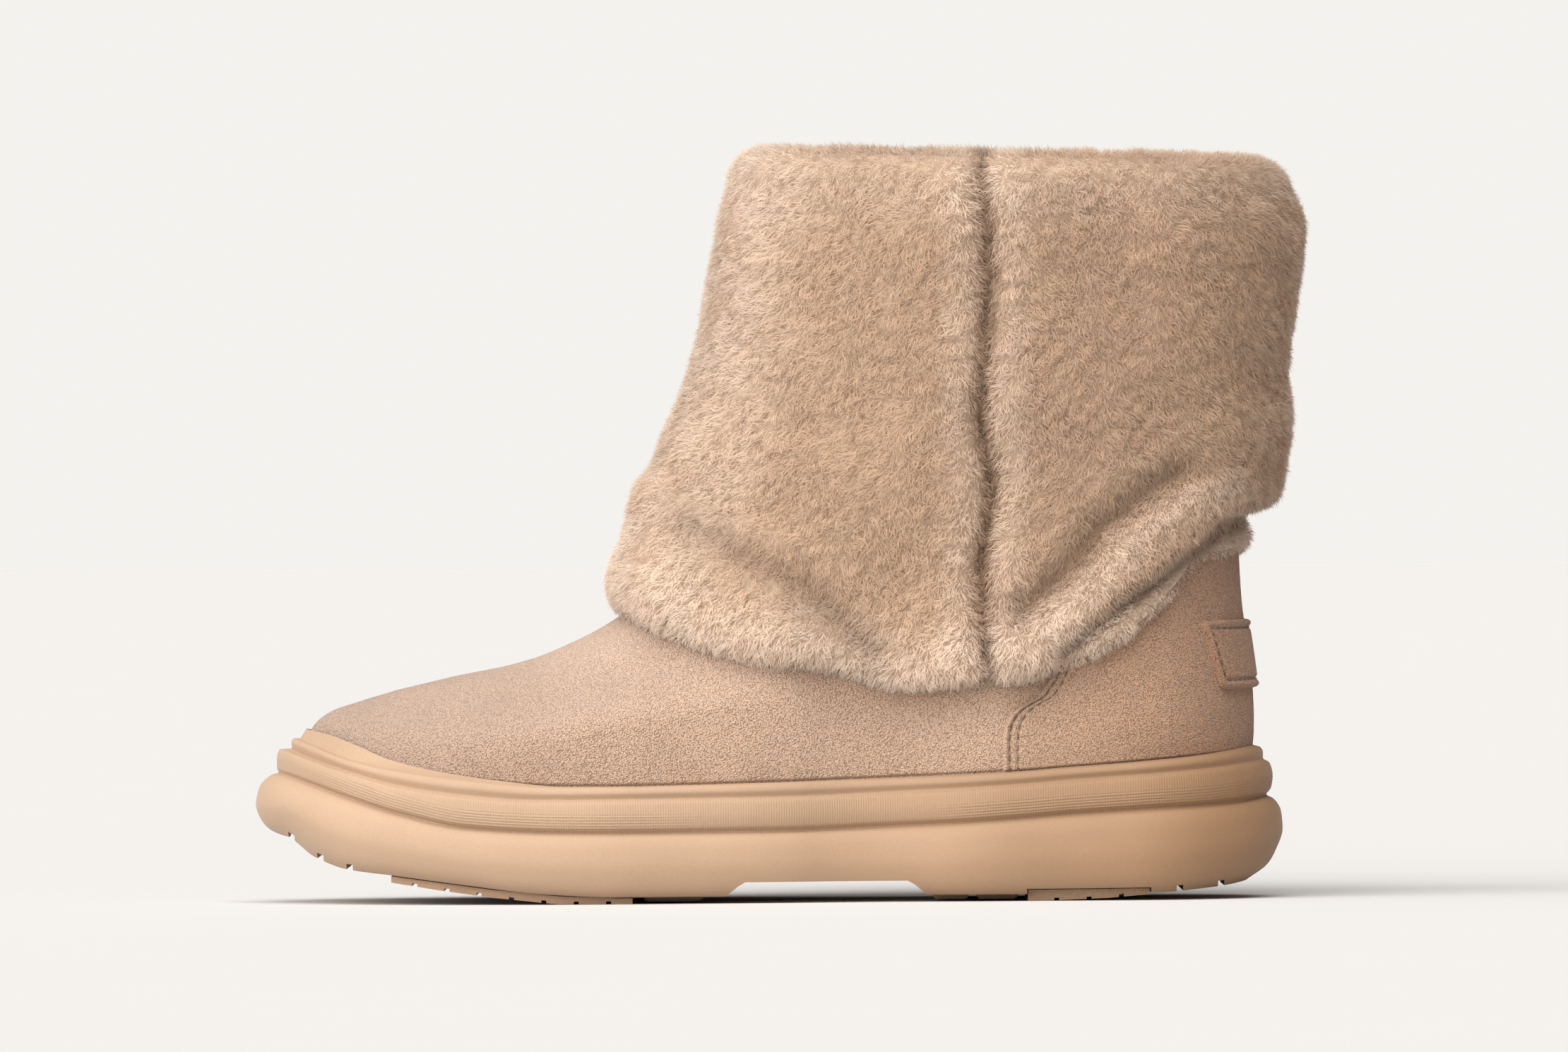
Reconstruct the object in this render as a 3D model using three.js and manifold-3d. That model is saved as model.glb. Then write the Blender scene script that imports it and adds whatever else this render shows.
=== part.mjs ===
// Sheepskin ankle boot with a folded-down fur cuff, for the left foot. Millimetres, +Z up.
// While it is worked out the toe end of the sole is at x = 0, its heel end at x = soleLength,
// the ground at z = 0 and the outer side of the foot towards -Y. The last lines centre it.
import * as THREE from "three";
import { mergeVertices } from "three/addons/utils/BufferGeometryUtils.js";
import Module from "manifold-3d";

const wasm = await Module();
wasm.setup();

// Driving dimensions of the sole
const soleLength = 288;
const ballWidth = 108;
const waistWidth = 82;
const heelWidth = 84;
const toeSwing = 7;
const soleHeight = 33;
const sidewallRelief = 6;
const seatDepth = 2.7;
const archHeight = 4;
const padInset = 7.5;
const heelPadDepth = 1.5;
const blockLift = 0.4;
const blockInset = 11;
const treadPitch = 9;
const treadGrooveWidth = 1.4;
const treadGrooveDepth = 0.8;
const notchWidth = 1.8;
const notchDepth = 1.6;
const insoleThickness = 4.5;

// Driving dimensions of the upper
const collarHeight = 200;
const ankleWidth = 76;
const collarWidth = 98;
const sideLedge = 6;
const sideSwell = 0.8;
const upperWall = 2.2;
const counterWall = 1.2;
const counterHeight = 110;
const tabWall = 1.1;
const fitGap = 0.3;

// Driving dimensions of the cuff
const pileDepth = 12;
const hideThickness = 1.6;
const rollHeight = 11.5;
const rollRearDrop = 2.6;
const hemDrop = 31.7;
const innerLegLength = 28;
const cuffClearance = 2.3;
const seamGrooveDepth = 6;
const seamGrooveWidth = 5;
const seamGap = 0.5;
const lockOverhang = 3;
const lockWidth = 9;
const lockLift = 1.5;
const lockPitch = 14;

// How finely the forms are cut into flat faces
const bootColumns = 44;
const cuffColumns = 38;
const seamColumn = 10;
const seamColumnSpread = 0.36;

// Half width of the sole along its length, as parts of the three half widths, and how far
// its middle line swings towards the inner side, in toeSwings.
const planTable = [
  { along: 0.0, ball: 0.8, waist: 0, heel: 0, swing: 1 },
  { along: 0.1, ball: 0.9, waist: 0, heel: 0, swing: 0.85 },
  { along: 0.2, ball: 0.97, waist: 0, heel: 0, swing: 0.55 },
  { along: 0.31, ball: 1, waist: 0, heel: 0, swing: 0.2 },
  { along: 0.42, ball: 0.66, waist: 0.34, heel: 0, swing: -0.12 },
  { along: 0.54, ball: 0.15, waist: 0.85, heel: 0, swing: -0.3 },
  { along: 0.66, ball: 0, waist: 0.8, heel: 0.2, swing: -0.2 },
  { along: 0.8, ball: 0, waist: 0, heel: 1, swing: 0 },
  { along: 0.9, ball: 0, waist: 0, heel: 1, swing: 0 },
  { along: 1.0, ball: 0, waist: 0, heel: 0.98, swing: 0 },
];
const toeRound = 0.22;
const heelRound = 0.15;

// Side lines of the sole as shares of soleHeight: the rubber's lower face, the foam's lower
// face, the groove between the tiers, the crease under the lip and the top of the lip.
const lineTable = [
  { along: 0.0, contact: 0.43, tread: 0.52, groove: 1.15, crease: 1.37, lip: 1.49 },
  { along: 0.028, contact: 0.41, tread: 0.57, groove: 1.1, crease: 1.33, lip: 1.44 },
  { along: 0.059, contact: 0.33, tread: 0.4, groove: 1.01, crease: 1.23, lip: 1.345 },
  { along: 0.09, contact: 0.26, tread: 0.3, groove: 0.915, crease: 1.14, lip: 1.24 },
  { along: 0.139, contact: 0.18, tread: 0.245, groove: 0.78, crease: 1.02, lip: 1.143 },
  { along: 0.208, contact: 0.09, tread: 0.165, groove: 0.65, crease: 0.927, lip: 1.058 },
  { along: 0.278, contact: 0.015, tread: 0.09, groove: 0.612, crease: 0.885, lip: 1.0 },
  { along: 0.306, contact: 0, tread: 0.075, groove: 0.606, crease: 0.885, lip: 0.992 },
  { along: 0.347, contact: 0, tread: 0.058, groove: 0.603, crease: 0.888, lip: 0.991 },
  { along: 0.5, contact: 0, tread: 0.058, groove: 0.609, crease: 0.9, lip: 1.015 },
  { along: 0.65, contact: 0, tread: 0.058, groove: 0.652, crease: 0.945, lip: 1.058 },
  { along: 0.75, contact: 0, tread: 0.058, groove: 0.706, crease: 0.994, lip: 1.1 },
  { along: 0.785, contact: 0, tread: 0.058, groove: 0.73, crease: 1.02, lip: 1.125 },
  { along: 0.868, contact: 0.05, tread: 0.063, groove: 0.776, crease: 1.07, lip: 1.176 },
  { along: 0.931, contact: 0.08, tread: 0.103, groove: 0.806, crease: 1.12, lip: 1.224 },
  { along: 0.965, contact: 0.13, tread: 0.15, groove: 0.836, crease: 1.158, lip: 1.267 },
  { along: 0.986, contact: 0.18, tread: 0.22, groove: 0.873, crease: 1.182, lip: 1.3 },
  { along: 1.0, contact: 0.25, tread: 0.27, groove: 0.885, crease: 1.19, lip: 1.315 },
];

// The sole's side from its lower edge to the top of the lip. Each row lies a share of the way
// between two side lines; its insets from the outline are in sidewallReliefs.
const wallTable = [
  { low: "tread", high: "groove", share: 0.0, toe: 1.3, side: 0.85, heel: 1.7 },
  { low: "tread", high: "groove", share: 0.1, toe: 0.75, side: 0.42, heel: 0.7 },
  { low: "tread", high: "groove", share: 0.26, toe: 0.3, side: 0.15, heel: 0.3 },
  { low: "tread", high: "groove", share: 0.5, toe: 0, side: 0, heel: 0 },
  { low: "tread", high: "groove", share: 0.76, toe: 0.2, side: 0.1, heel: 0.08 },
  { low: "tread", high: "groove", share: 0.93, toe: 0.72, side: 0.36, heel: 0.42 },
  { low: "groove", high: "crease", share: 0.0, toe: 1.08, side: 0.66, heel: 0.75 },
  { low: "groove", high: "crease", share: 0.16, toe: 1.0, side: 0.4, heel: 0.54 },
  { low: "groove", high: "crease", share: 0.5, toe: 1.0, side: 0.3, heel: 0.45 },
  { low: "groove", high: "crease", share: 0.86, toe: 1.15, side: 0.38, heel: 0.6 },
  { low: "crease", high: "lip", share: 0.0, toe: 1.7, side: 0.6, heel: 0.9 },
  { low: "crease", high: "lip", share: 0.45, toe: 1.68, side: 0.48, heel: 0.9 },
  { low: "crease", high: "lip", share: 0.86, toe: 1.82, side: 0.58, heel: 1.03 },
  { low: "crease", high: "lip", share: 1.0, toe: 2.1, side: 0.78, heel: 1.2 },
];
const lipEdgeDrop = 0.4;

// Front and back points of the upper's rings, from the lower edge to above the collar: X in
// shares of soleLength, rises in shares of the height from lower edge to collar. The dip
// keeps the lower edge's hollow line.
const upperProfile = [
  { at: 0, frontX: 0.0507, frontRise: 0, backX: 0.9662, backRise: 0, dip: 1 },
  { at: 1, frontX: 0.0509, frontRise: 0.019, backX: 0.9664, backRise: 0.019, dip: 1 },
  { at: 2, frontX: 0.0576, frontRise: 0.0465, backX: 0.9672, backRise: 0.044, dip: 0.8 },
  { at: 3, frontX: 0.0712, frontRise: 0.067, backX: 0.9672, backRise: 0.066, dip: 0.65 },
  { at: 4, frontX: 0.0972, frontRise: 0.0847, backX: 0.9672, backRise: 0.088, dip: 0.5 },
  { at: 5, frontX: 0.139, frontRise: 0.107, backX: 0.967, backRise: 0.11, dip: 0.38 },
  { at: 6, frontX: 0.1924, frontRise: 0.13, backX: 0.9665, backRise: 0.1345, dip: 0.27 },
  { at: 7, frontX: 0.2476, frontRise: 0.1502, backX: 0.9644, backRise: 0.1656, dip: 0.17 },
  { at: 8, frontX: 0.3028, frontRise: 0.1852, backX: 0.961, backRise: 0.209, dip: 0.1 },
  { at: 9, frontX: 0.3507, frontRise: 0.231, backX: 0.9565, backRise: 0.265, dip: 0.05 },
  { at: 10, frontX: 0.3924, frontRise: 0.287, backX: 0.954, backRise: 0.334, dip: 0 },
  { at: 11, frontX: 0.4253, frontRise: 0.354, backX: 0.9533, backRise: 0.402, dip: 0 },
  { at: 12, frontX: 0.4497, frontRise: 0.44, backX: 0.9564, backRise: 0.489, dip: 0 },
  { at: 13, frontX: 0.468, frontRise: 0.5544, backX: 0.9601, backRise: 0.595, dip: 0 },
  { at: 14, frontX: 0.483, frontRise: 0.7008, backX: 0.9639, backRise: 0.72, dip: 0 },
  { at: 15, frontX: 0.4938, frontRise: 0.8727, backX: 0.9674, backRise: 0.8755, dip: 0 },
  { at: 16, frontX: 0.5, frontRise: 1, backX: 0.9705, backRise: 1, dip: 0 },
  { at: 17, frontX: 0.505, frontRise: 1.1, backX: 0.973, backRise: 1.1, dip: 0 },
];

// Plan of the same rings: lengths of the round ends as shares of the ring, how far the foot's
// plan has become the shaft's, how far ankle width has become collar width, sideSwells.
const upperPlan = [
  { at: 0, nose: 0.22, counter: 0.143, shaft: 0, flare: 0, swell: 0 },
  { at: 1, nose: 0.22, counter: 0.143, shaft: 0, flare: 0, swell: 0.1 },
  { at: 2, nose: 0.23, counter: 0.144, shaft: 0, flare: 0, swell: 0.8 },
  { at: 3, nose: 0.256, counter: 0.146, shaft: 0, flare: 0, swell: 1 },
  { at: 4, nose: 0.31, counter: 0.15, shaft: 0, flare: 0, swell: 0.7 },
  { at: 5, nose: 0.408, counter: 0.1625, shaft: 0, flare: 0, swell: 0.3 },
  { at: 6, nose: 0.5, counter: 0.178, shaft: 0.03, flare: 0, swell: 0 },
  { at: 7, nose: 0.567, counter: 0.202, shaft: 0.1, flare: 0, swell: 0 },
  { at: 8, nose: 0.586, counter: 0.235, shaft: 0.25, flare: 0, swell: 0 },
  { at: 9, nose: 0.568, counter: 0.278, shaft: 0.45, flare: 0, swell: 0 },
  { at: 10, nose: 0.54, counter: 0.331, shaft: 0.65, flare: 0.05, swell: 0 },
  { at: 11, nose: 0.508, counter: 0.385, shaft: 0.85, flare: 0.12, swell: 0 },
  { at: 12, nose: 0.5, counter: 0.43, shaft: 1, flare: 0.28, swell: 0 },
  { at: 13, nose: 0.5, counter: 0.47, shaft: 1, flare: 0.5, swell: 0 },
  { at: 14, nose: 0.5, counter: 0.49, shaft: 1, flare: 0.75, swell: 0 },
  { at: 15, nose: 0.5, counter: 0.5, shaft: 1, flare: 0.93, swell: 0 },
  { at: 16, nose: 0.5, counter: 0.5, shaft: 1, flare: 1, swell: 0 },
  { at: 17, nose: 0.5, counter: 0.5, shaft: 1, flare: 1.05, swell: 0 },
];
const collarRow = 16;
const lastRow = 17;

// Rings of the cuff from the hem to the collar: where the hide lies against the upper at
// front and back in collarHeights, how much of hemDrop the ring keeps in between, and how
// far the fur stands off the upper at front, side and back in pileDepths.
const cuffTable = [
  { at: 0, frontZ: 0.4025, backZ: 0.486, keep: 1, front: 0.17, side: 0.17, back: 0.17 },
  { at: 1, frontZ: 0.404, backZ: 0.4925, keep: 1, front: 0.54, side: 0.6, back: 0.42 },
  { at: 2, frontZ: 0.415, backZ: 0.5175, keep: 0.97, front: 1.12, side: 1, back: 0.54 },
  { at: 3, frontZ: 0.445, backZ: 0.545, keep: 0.92, front: 1.46, side: 1.1, back: 0.46 },
  { at: 4, frontZ: 0.48, backZ: 0.5675, keep: 0.84, front: 1.7, side: 1.12, back: 1.1 },
  { at: 5, frontZ: 0.535, backZ: 0.6, keep: 0.72, front: 1.75, side: 1.12, back: 1.22 },
  { at: 6, frontZ: 0.6125, backZ: 0.675, keep: 0.52, front: 1.7, side: 1.08, back: 1.32 },
  { at: 7, frontZ: 0.715, backZ: 0.75, keep: 0.3, front: 1.42, side: 1.04, back: 1.15 },
  { at: 8, frontZ: 0.815, backZ: 0.84, keep: 0.12, front: 1.25, side: 1, back: 1.31 },
  { at: 9, frontZ: 0.915, backZ: 0.935, keep: 0.02, front: 1.08, side: 1, back: 1.42 },
  { at: 10, frontZ: 1, backZ: 0.9975, keep: 0, front: 0.92, side: 0.95, back: 1.02 },
];
const cuffTopRow = 10;
const rollStart = 0.72;
const frontReach = 0.38;
const backReach = 0.34;

// How far the hem hangs below a straight line from its front to its back, in hemDrops.
const hemTable = [
  { at: 0.0, drop: 0 },
  { at: 0.04, drop: 0.15 },
  { at: 0.1, drop: 0.33 },
  { at: 0.19, drop: 0.54 },
  { at: 0.26, drop: 0.65 },
  { at: 0.35, drop: 0.75 },
  { at: 0.45, drop: 0.95 },
  { at: 0.55, drop: 1 },
  { at: 0.65, drop: 1 },
  { at: 0.7, drop: 0.94 },
  { at: 0.76, drop: 0.86 },
  { at: 0.81, drop: 0.73 },
  { at: 0.85, drop: 0.56 },
  { at: 0.89, drop: 0.33 },
  { at: 0.94, drop: 0.05 },
  { at: 1.0, drop: 0 },
];

// A lock of fur from its buried root to its tip: its middle line off the cuff's surface and
// its thickness in lockLifts, its half width in lockWidths.
const lockTable = [
  { lift: -2, half: 0.25, thick: 0.5 },
  { lift: -0.5, half: 0.45, thick: 0.95 },
  { lift: -0.3, half: 0.5, thick: 1.1 },
  { lift: -0.6, half: 0.12, thick: 0.35 },
];
const hemLockRows = [4.2, 3.1, 2.1, 1.2];
const rollLockRows = [5.6, 5.1, 4.6, 4.1];

// The side seam of the cuff from hem to crest, and the front edge of the counter panel from
// the sole to under the cuff: X in soleLengths, Z in collarHeights.
const seamPath = [
  { x: 0.719, z: 0.2 },
  { x: 0.708, z: 0.46 },
  { x: 0.717, z: 0.58 },
  { x: 0.709, z: 0.68 },
  { x: 0.716, z: 0.88 },
  { x: 0.711, z: 1.02 },
  { x: 0.718, z: 1.2 },
];
const counterEdge = [
  { x: 0.7275, z: 0.1 },
  { x: 0.7257, z: 0.217 },
  { x: 0.727, z: 0.238 },
  { x: 0.732, z: 0.255 },
  { x: 0.74, z: 0.267 },
  { x: 0.749, z: 0.275 },
  { x: 0.76, z: 0.284 },
  { x: 0.766, z: 0.297 },
  { x: 0.771, z: 0.308 },
  { x: 0.778, z: 0.34 },
  { x: 0.78, z: 0.4 },
];
const tabCorners = [
  { x: 0.9278, z: 0.3875 },
  { x: 0.947, z: 0.2905 },
  { x: 1.05, z: 0.298 },
  { x: 1.05, z: 0.402 },
];

// Reading tables and lines

// A smooth reading of one column: a cubic through the rows that never overshoots them.
function smoothColumn(table, place, value) {
  const xs = table.map((row) => row[place]);
  const ys = table.map((row) => row[value]);
  const rises = xs.slice(1).map((x, i) => (ys[i + 1] - ys[i]) / (x - xs[i]));
  const slopes = xs.map((x, i) => {
    const before = rises[Math.max(i - 1, 0)];
    const after = rises[Math.min(i, rises.length - 1)];
    return before * after <= 0 ? 0 : (2 * before * after) / (before + after);
  });
  return (x) => {
    const at = THREE.MathUtils.clamp(x, xs[0], xs[xs.length - 1]);
    let i = 0;
    while (i < rises.length - 1 && at > xs[i + 1]) i += 1;
    const width = xs[i + 1] - xs[i];
    const t = (at - xs[i]) / width;
    const bend = t * t * (3 - 2 * t);
    const startPull = width * slopes[i] * t * (1 - t) * (1 - t);
    const endPull = width * slopes[i + 1] * t * t * (t - 1);
    return ys[i] + (ys[i + 1] - ys[i]) * bend + startPull + endPull;
  };
}

// Every column of a table as a smooth reading, by name.
function smoothTable(table, place) {
  const names = Object.keys(table[0]).filter((name) => typeof table[0][name] === "number");
  return Object.fromEntries(names.map((name) => [name, smoothColumn(table, place, name)]));
}

const { lerp, smoothstep } = THREE.MathUtils;
const plan = smoothTable(planTable, "along");
const lines = smoothTable(lineTable, "along");
const profile = smoothTable(upperProfile, "at");
const rings = smoothTable(upperPlan, "at");
const cuff = smoothTable(cuffTable, "at");
const hem = smoothTable(hemTable, "at");
const seam = smoothTable(seamPath, "z");

const lineHeight = (name, x) => soleHeight * lines[name](x / soleLength);
const roundEnd = (share) => (share >= 1 ? 1 : Math.sqrt(Math.max(0, share * (2 - share))));
const bump = (distance, width) => Math.exp(-((distance / width) ** 2));

// A turn runs once round the boot: 0 at the toe, 0.25 on the outer side, 0.5 at the heel.
const turnShare = (turn) => (1 - Math.cos(2 * Math.PI * turn)) / 2;
const turnSide = (turn) => (Math.sin(2 * Math.PI * turn) > 0 ? -1 : 1);
const turnOf = (share, side) => {
  const half = Math.acos(THREE.MathUtils.clamp(1 - 2 * share, -1, 1)) / (2 * Math.PI);
  return side < 0 ? half : 1 - half;
};
const turns = (count) => Array.from({ length: count }, (_, i) => i / count);

// Making solids

// A closed solid through rings of equal length. Open stacks get flat ends, each a ladder
// of faces from the outer side to the inner; a closed stack joins its last ring to its first.
function loftGeometry(stack, closed) {
  const count = stack[0].length;
  const faces = [];
  const points = stack.flat();
  const positions = points.flatMap((p) => [p.x, p.y, p.z]);
  const span = (a, b) => points[a].distanceTo(points[b]);
  const quad = (a, b, c, d) => {
    if (span(a, c) <= span(b, d)) faces.push(a, b, c, a, c, d);
    else faces.push(a, b, d, b, c, d);
  };
  const last = closed ? stack.length : stack.length - 1;
  for (let row = 0; row < last; row += 1) {
    const low = row * count;
    const high = ((row + 1) % stack.length) * count;
    for (let i = 0; i < count; i += 1) {
      const next = (i + 1) % count;
      quad(low + i, low + next, high + next, high + i);
    }
  }
  const ladder = (start, flip) => {
    for (let i = 0; i < count / 2; i += 1) {
      const rung = [i, i + 1, (count - i - 1) % count, (count - i) % count];
      const [a, b, c, d] = (flip ? rung.reverse() : rung).map((k) => start + k);
      if (a !== b && b !== c && a !== c) faces.push(a, b, c);
      if (a !== c && c !== d && a !== d) faces.push(a, c, d);
    }
  };
  if (!closed) {
    ladder(0, true);
    ladder((stack.length - 1) * count, false);
  }
  const geometry = new THREE.BufferGeometry();
  geometry.setAttribute("position", new THREE.Float32BufferAttribute(positions, 3));
  geometry.setIndex(faces);
  return geometry;
}

// A closed geometry as a solid that can be joined and cut.
function solidFrom(geometry) {
  const plain = geometry.clone();
  plain.deleteAttribute("normal");
  plain.deleteAttribute("uv");
  const merged = mergeVertices(plain, 1e-4);
  const vertProperties = new Float32Array(merged.attributes.position.array);
  const triVerts = new Uint32Array(merged.index.array);
  const made = new wasm.Manifold(new wasm.Mesh({ numProp: 3, vertProperties, triVerts }));
  if (made.volume() > 0) return made;
  const turned = triVerts.slice().reverse();
  return new wasm.Manifold(new wasm.Mesh({ numProp: 3, vertProperties, triVerts: turned }));
}

const loft = (stack, closed = false) => solidFrom(loftGeometry(stack, closed));

// A solid from an outline in the side view (x, z), reaching right across the boot.
function sidePrism(outline) {
  const reach = ballWidth;
  const shape = new THREE.Shape(outline.map((p) => new THREE.Vector2(p.x, p.z)));
  const geometry = new THREE.ExtrudeGeometry(shape, { depth: 2 * reach, bevelEnabled: false });
  geometry.rotateX(Math.PI / 2);
  geometry.translate(0, reach, 0);
  return solidFrom(geometry);
}

const corner = (x, z) => ({ x, z });
const sideBox = (x0, x1, z0, z1) =>
  sidePrism([corner(x0, z0), corner(x1, z0), corner(x1, z1), corner(x0, z1)]);

// A solid as a named mesh with its material.
function meshOf(name, made, material) {
  const { numProp, vertProperties, triVerts } = made.getMesh();
  const positions = [];
  for (let i = 0; i < vertProperties.length; i += numProp) {
    positions.push(...vertProperties.slice(i, i + 3));
  }
  const geometry = new THREE.BufferGeometry();
  geometry.setAttribute("position", new THREE.Float32BufferAttribute(positions, 3));
  geometry.setIndex(Array.from(triVerts));
  const mesh = new THREE.Mesh(geometry, material);
  mesh.name = name;
  return mesh;
}

// The sole

const soleCentre = (x) => toeSwing * plan.swing(x / soleLength);

function soleHalf(x) {
  const share = x / soleLength;
  const doubled =
    ballWidth * plan.ball(share) + waistWidth * plan.waist(share) + heelWidth * plan.heel(share);
  return doubled / 2;
}

function outlinePoint(turn) {
  const share = turnShare(turn);
  const x = soleLength * share;
  const round = roundEnd(share / toeRound) * roundEnd((1 - share) / heelRound);
  return new THREE.Vector2(x, soleCentre(x) + turnSide(turn) * soleHalf(x) * round);
}

// The outline drawn in by an inset that may differ at toe, side and heel.
function insetPoint(turn, toe, side, heel) {
  const step = 1e-3;
  const here = outlinePoint(turn);
  const along = outlinePoint(turn + step).sub(outlinePoint(turn - step)).normalize();
  const inward = new THREE.Vector2(-along.y, along.x);
  const share = here.x / soleLength;
  const toeWeight = Math.max(0, 1 - share / toeRound) ** 2;
  const heelWeight = Math.max(0, 1 - (1 - share) / heelRound) ** 2;
  const inset = side + (toe - side) * toeWeight + (heel - side) * heelWeight;
  return here.addScaledVector(inward, inset);
}

function soleRing(toe, side, heel, height) {
  return turns(bootColumns).map((turn) => {
    const p = insetPoint(turn, toe, side, heel);
    return new THREE.Vector3(p.x, p.y, height(p.x));
  });
}

function wallRing(row) {
  const [toe, side, heel] = [row.toe, row.side, row.heel].map((k) => k * sidewallRelief);
  const height = (x) => lerp(lineHeight(row.low, x), lineHeight(row.high, x), row.share);
  return soleRing(toe, side, heel, height);
}

// A plate between two height lines inside the outline, over one stretch of its length.
function solePlate(inset, under, over, from, to) {
  const insets = [inset, inset, Math.max(inset, 2 * sidewallRelief)];
  const plate = loft([soleRing(...insets, under), soleRing(...insets, over)]);
  return plate.intersect(sideBox(from, to, -soleHeight, 2 * soleHeight));
}

const padSpan = [0.1345, 0.368].map((share) => share * soleLength);
const heelPadSpan = [0.75, 0.868].map((share) => share * soleLength);
const frontBlockSpan = [0.377, 0.4375].map((share) => share * soleLength);
const heelBlockSpans = [
  [0.658, 0.693],
  [0.7, 0.741],
].map((span) => span.map((share) => share * soleLength));
const archSpan = [0.46, 0.651].map((share) => share * soleLength);
const archSlope = 0.017 * soleLength;
const notchPlaces = [0.036, 0.065, 0.094, 0.897, 0.9375];
const padTop = (x) => lineHeight("tread", x) - fitGap;
const heelPadTop = (x) => lineHeight("tread", x) + heelPadDepth - fitGap;
const contactFace = (x) => lineHeight("contact", x);

// A slot right across the sole's lower face.
function crossSlot(x, width, bottom, top) {
  const [from, to] = [x - width / 2, x + width / 2];
  return sidePrism([
    corner(from, bottom),
    corner(to, bottom),
    corner(to, top(to)),
    corner(from, top(from)),
  ]);
}

function archCut() {
  const [from, to] = archSpan;
  const base = lineHeight("tread", from);
  const foot = archSlope * 0.3;
  return sidePrism([
    corner(from - foot, -soleHeight),
    corner(to + foot, -soleHeight),
    corner(to + foot, base - fitGap),
    corner(to, base + archHeight * 0.12),
    corner(to - archSlope * 0.6, base + archHeight * 0.72),
    corner(to - archSlope, base + archHeight),
    corner(from + archSlope, base + archHeight),
    corner(from + archSlope * 0.6, base + archHeight * 0.72),
    corner(from, base + archHeight * 0.12),
    corner(from - foot, base - fitGap),
  ]);
}

function treadSlots(span, bottom) {
  const count = Math.floor((span[1] - span[0]) / treadPitch);
  const start = (span[0] + span[1] - (count - 1) * treadPitch) / 2;
  const top = (x) => contactFace(x) + treadGrooveDepth;
  return Array.from({ length: count }, (_, i) =>
    crossSlot(start + i * treadPitch, treadGrooveWidth, bottom, top),
  );
}

function midsoleSolid() {
  const stack = wallTable.map(wallRing);
  const lipEdge = (x) => lineHeight("lip", x) - lipEdgeDrop;
  const seatFloor = (x) => lineHeight("lip", x) - seatDepth - fitGap;
  for (const height of [lipEdge, seatFloor]) {
    const ring = turns(bootColumns).map((turn) => {
      const p = upperOffset(0, turn, fitGap);
      return new THREE.Vector3(p.x, p.y, height(p.x));
    });
    stack.push(ring);
  }
  const inBlock = (x) => lineHeight("tread", x) + heelPadDepth;
  const onBlock = () => blockLift;
  let made = loft(stack);
  made = made.subtract(archCut());
  for (const span of [frontBlockSpan, ...heelBlockSpans]) {
    made = made.add(solePlate(blockInset, onBlock, inBlock, ...span));
  }
  const [from, to] = heelPadSpan;
  const pocket = [corner(from - fitGap, -soleHeight), corner(to + fitGap, -soleHeight)];
  for (const x of [to + fitGap, (from + to) / 2, from - fitGap]) {
    pocket.push(corner(x, lineHeight("tread", x) + heelPadDepth));
  }
  made = made.subtract(sidePrism(pocket));
  for (const share of notchPlaces) {
    const top = (x) => lineHeight("tread", x) + notchDepth;
    made = made.subtract(crossSlot(share * soleLength, notchWidth, -soleHeight, top));
  }
  return made;
}

function padSolid(inset, top, span) {
  const pad = solePlate(inset, contactFace, top, ...span);
  return treadSlots(span, -soleHeight).reduce((made, slot) => made.subtract(slot), pad);
}

// The insole lies on the seat, just inside the upper's wall.
function insoleSolid() {
  const seat = (x) => lineHeight("lip", x) - seatDepth;
  const layers = [
    { inset: 0.5, height: 0 },
    { inset: 0.5, height: 0.55 },
    { inset: 3.4, height: 1 },
  ];
  const stack = layers.map(({ inset, height }) =>
    turns(bootColumns).map((turn) => {
      const p = upperOffset(0, turn, -upperWall - inset);
      return new THREE.Vector3(p.x, p.y, seat(p.x) + height * insoleThickness);
    }),
  );
  return loft(stack);
}

// The upper

const frontX = (row) => soleLength * profile.frontX(row);
const backX = (row) => soleLength * profile.backX(row);

function riseFrom(x, share) {
  const base = lineHeight("lip", x) - seatDepth;
  return lerp(base, collarHeight, share);
}

const ringHeight = (row, share) =>
  lerp(riseFrom(frontX(0), profile.frontRise(row)), riseFrom(backX(0), profile.backRise(row)), share);

// How far the upper's lower edge hangs below the straight line between its two ends.
function edgeDip(share) {
  const x = lerp(frontX(0), backX(0), share);
  return ringHeight(0, share) - riseFrom(x, 0);
}

function upperPoint(row, turn) {
  const share = turnShare(turn);
  const [front, back] = [frontX(row), backX(row)];
  const x = lerp(front, back, share);
  const z = ringHeight(row, share) - profile.dip(row) * edgeDip(share);
  const foot = soleHalf(x) - sideLedge + sideSwell * rings.swell(row);
  const shaft = lerp(ankleWidth, collarWidth, rings.flare(row)) / 2;
  const round = roundEnd(share / rings.nose(row)) * roundEnd((1 - share) / rings.counter(row));
  const half = lerp(foot, shaft, rings.shaft(row)) * round;
  const centre = soleCentre(x) * (1 - rings.shaft(row));
  return new THREE.Vector3(x, centre + turnSide(turn) * half, z);
}

function upperNormal(row, turn) {
  const step = 2e-3;
  const [low, high] = [Math.max(row - step * 10, 0), Math.min(row + step * 10, lastRow)];
  const round = upperPoint(row, turn + step).sub(upperPoint(row, turn - step));
  const up = upperPoint(high, turn).sub(upperPoint(low, turn));
  const normal = round.cross(up);
  if (row === 0 || row >= collarRow) normal.z = 0;
  return normal.normalize();
}

const upperOffset = (row, turn, distance) =>
  upperPoint(row, turn).addScaledVector(upperNormal(row, turn), distance);

const upperRing = (row, distance) =>
  turns(bootColumns).map((turn) => upperOffset(row, turn, distance));

const rowsBetween = (first, last) =>
  Array.from({ length: last - first + 1 }, (_, i) => first + i);

// A wall that follows the upper between two distances from its outer face.
function upperShell(rows, inside, outside) {
  const outer = rows.map((row) => upperRing(row, outside));
  const inner = rows.map((row) => upperRing(row, inside)).reverse();
  return loft([...outer, ...inner], true);
}

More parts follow.
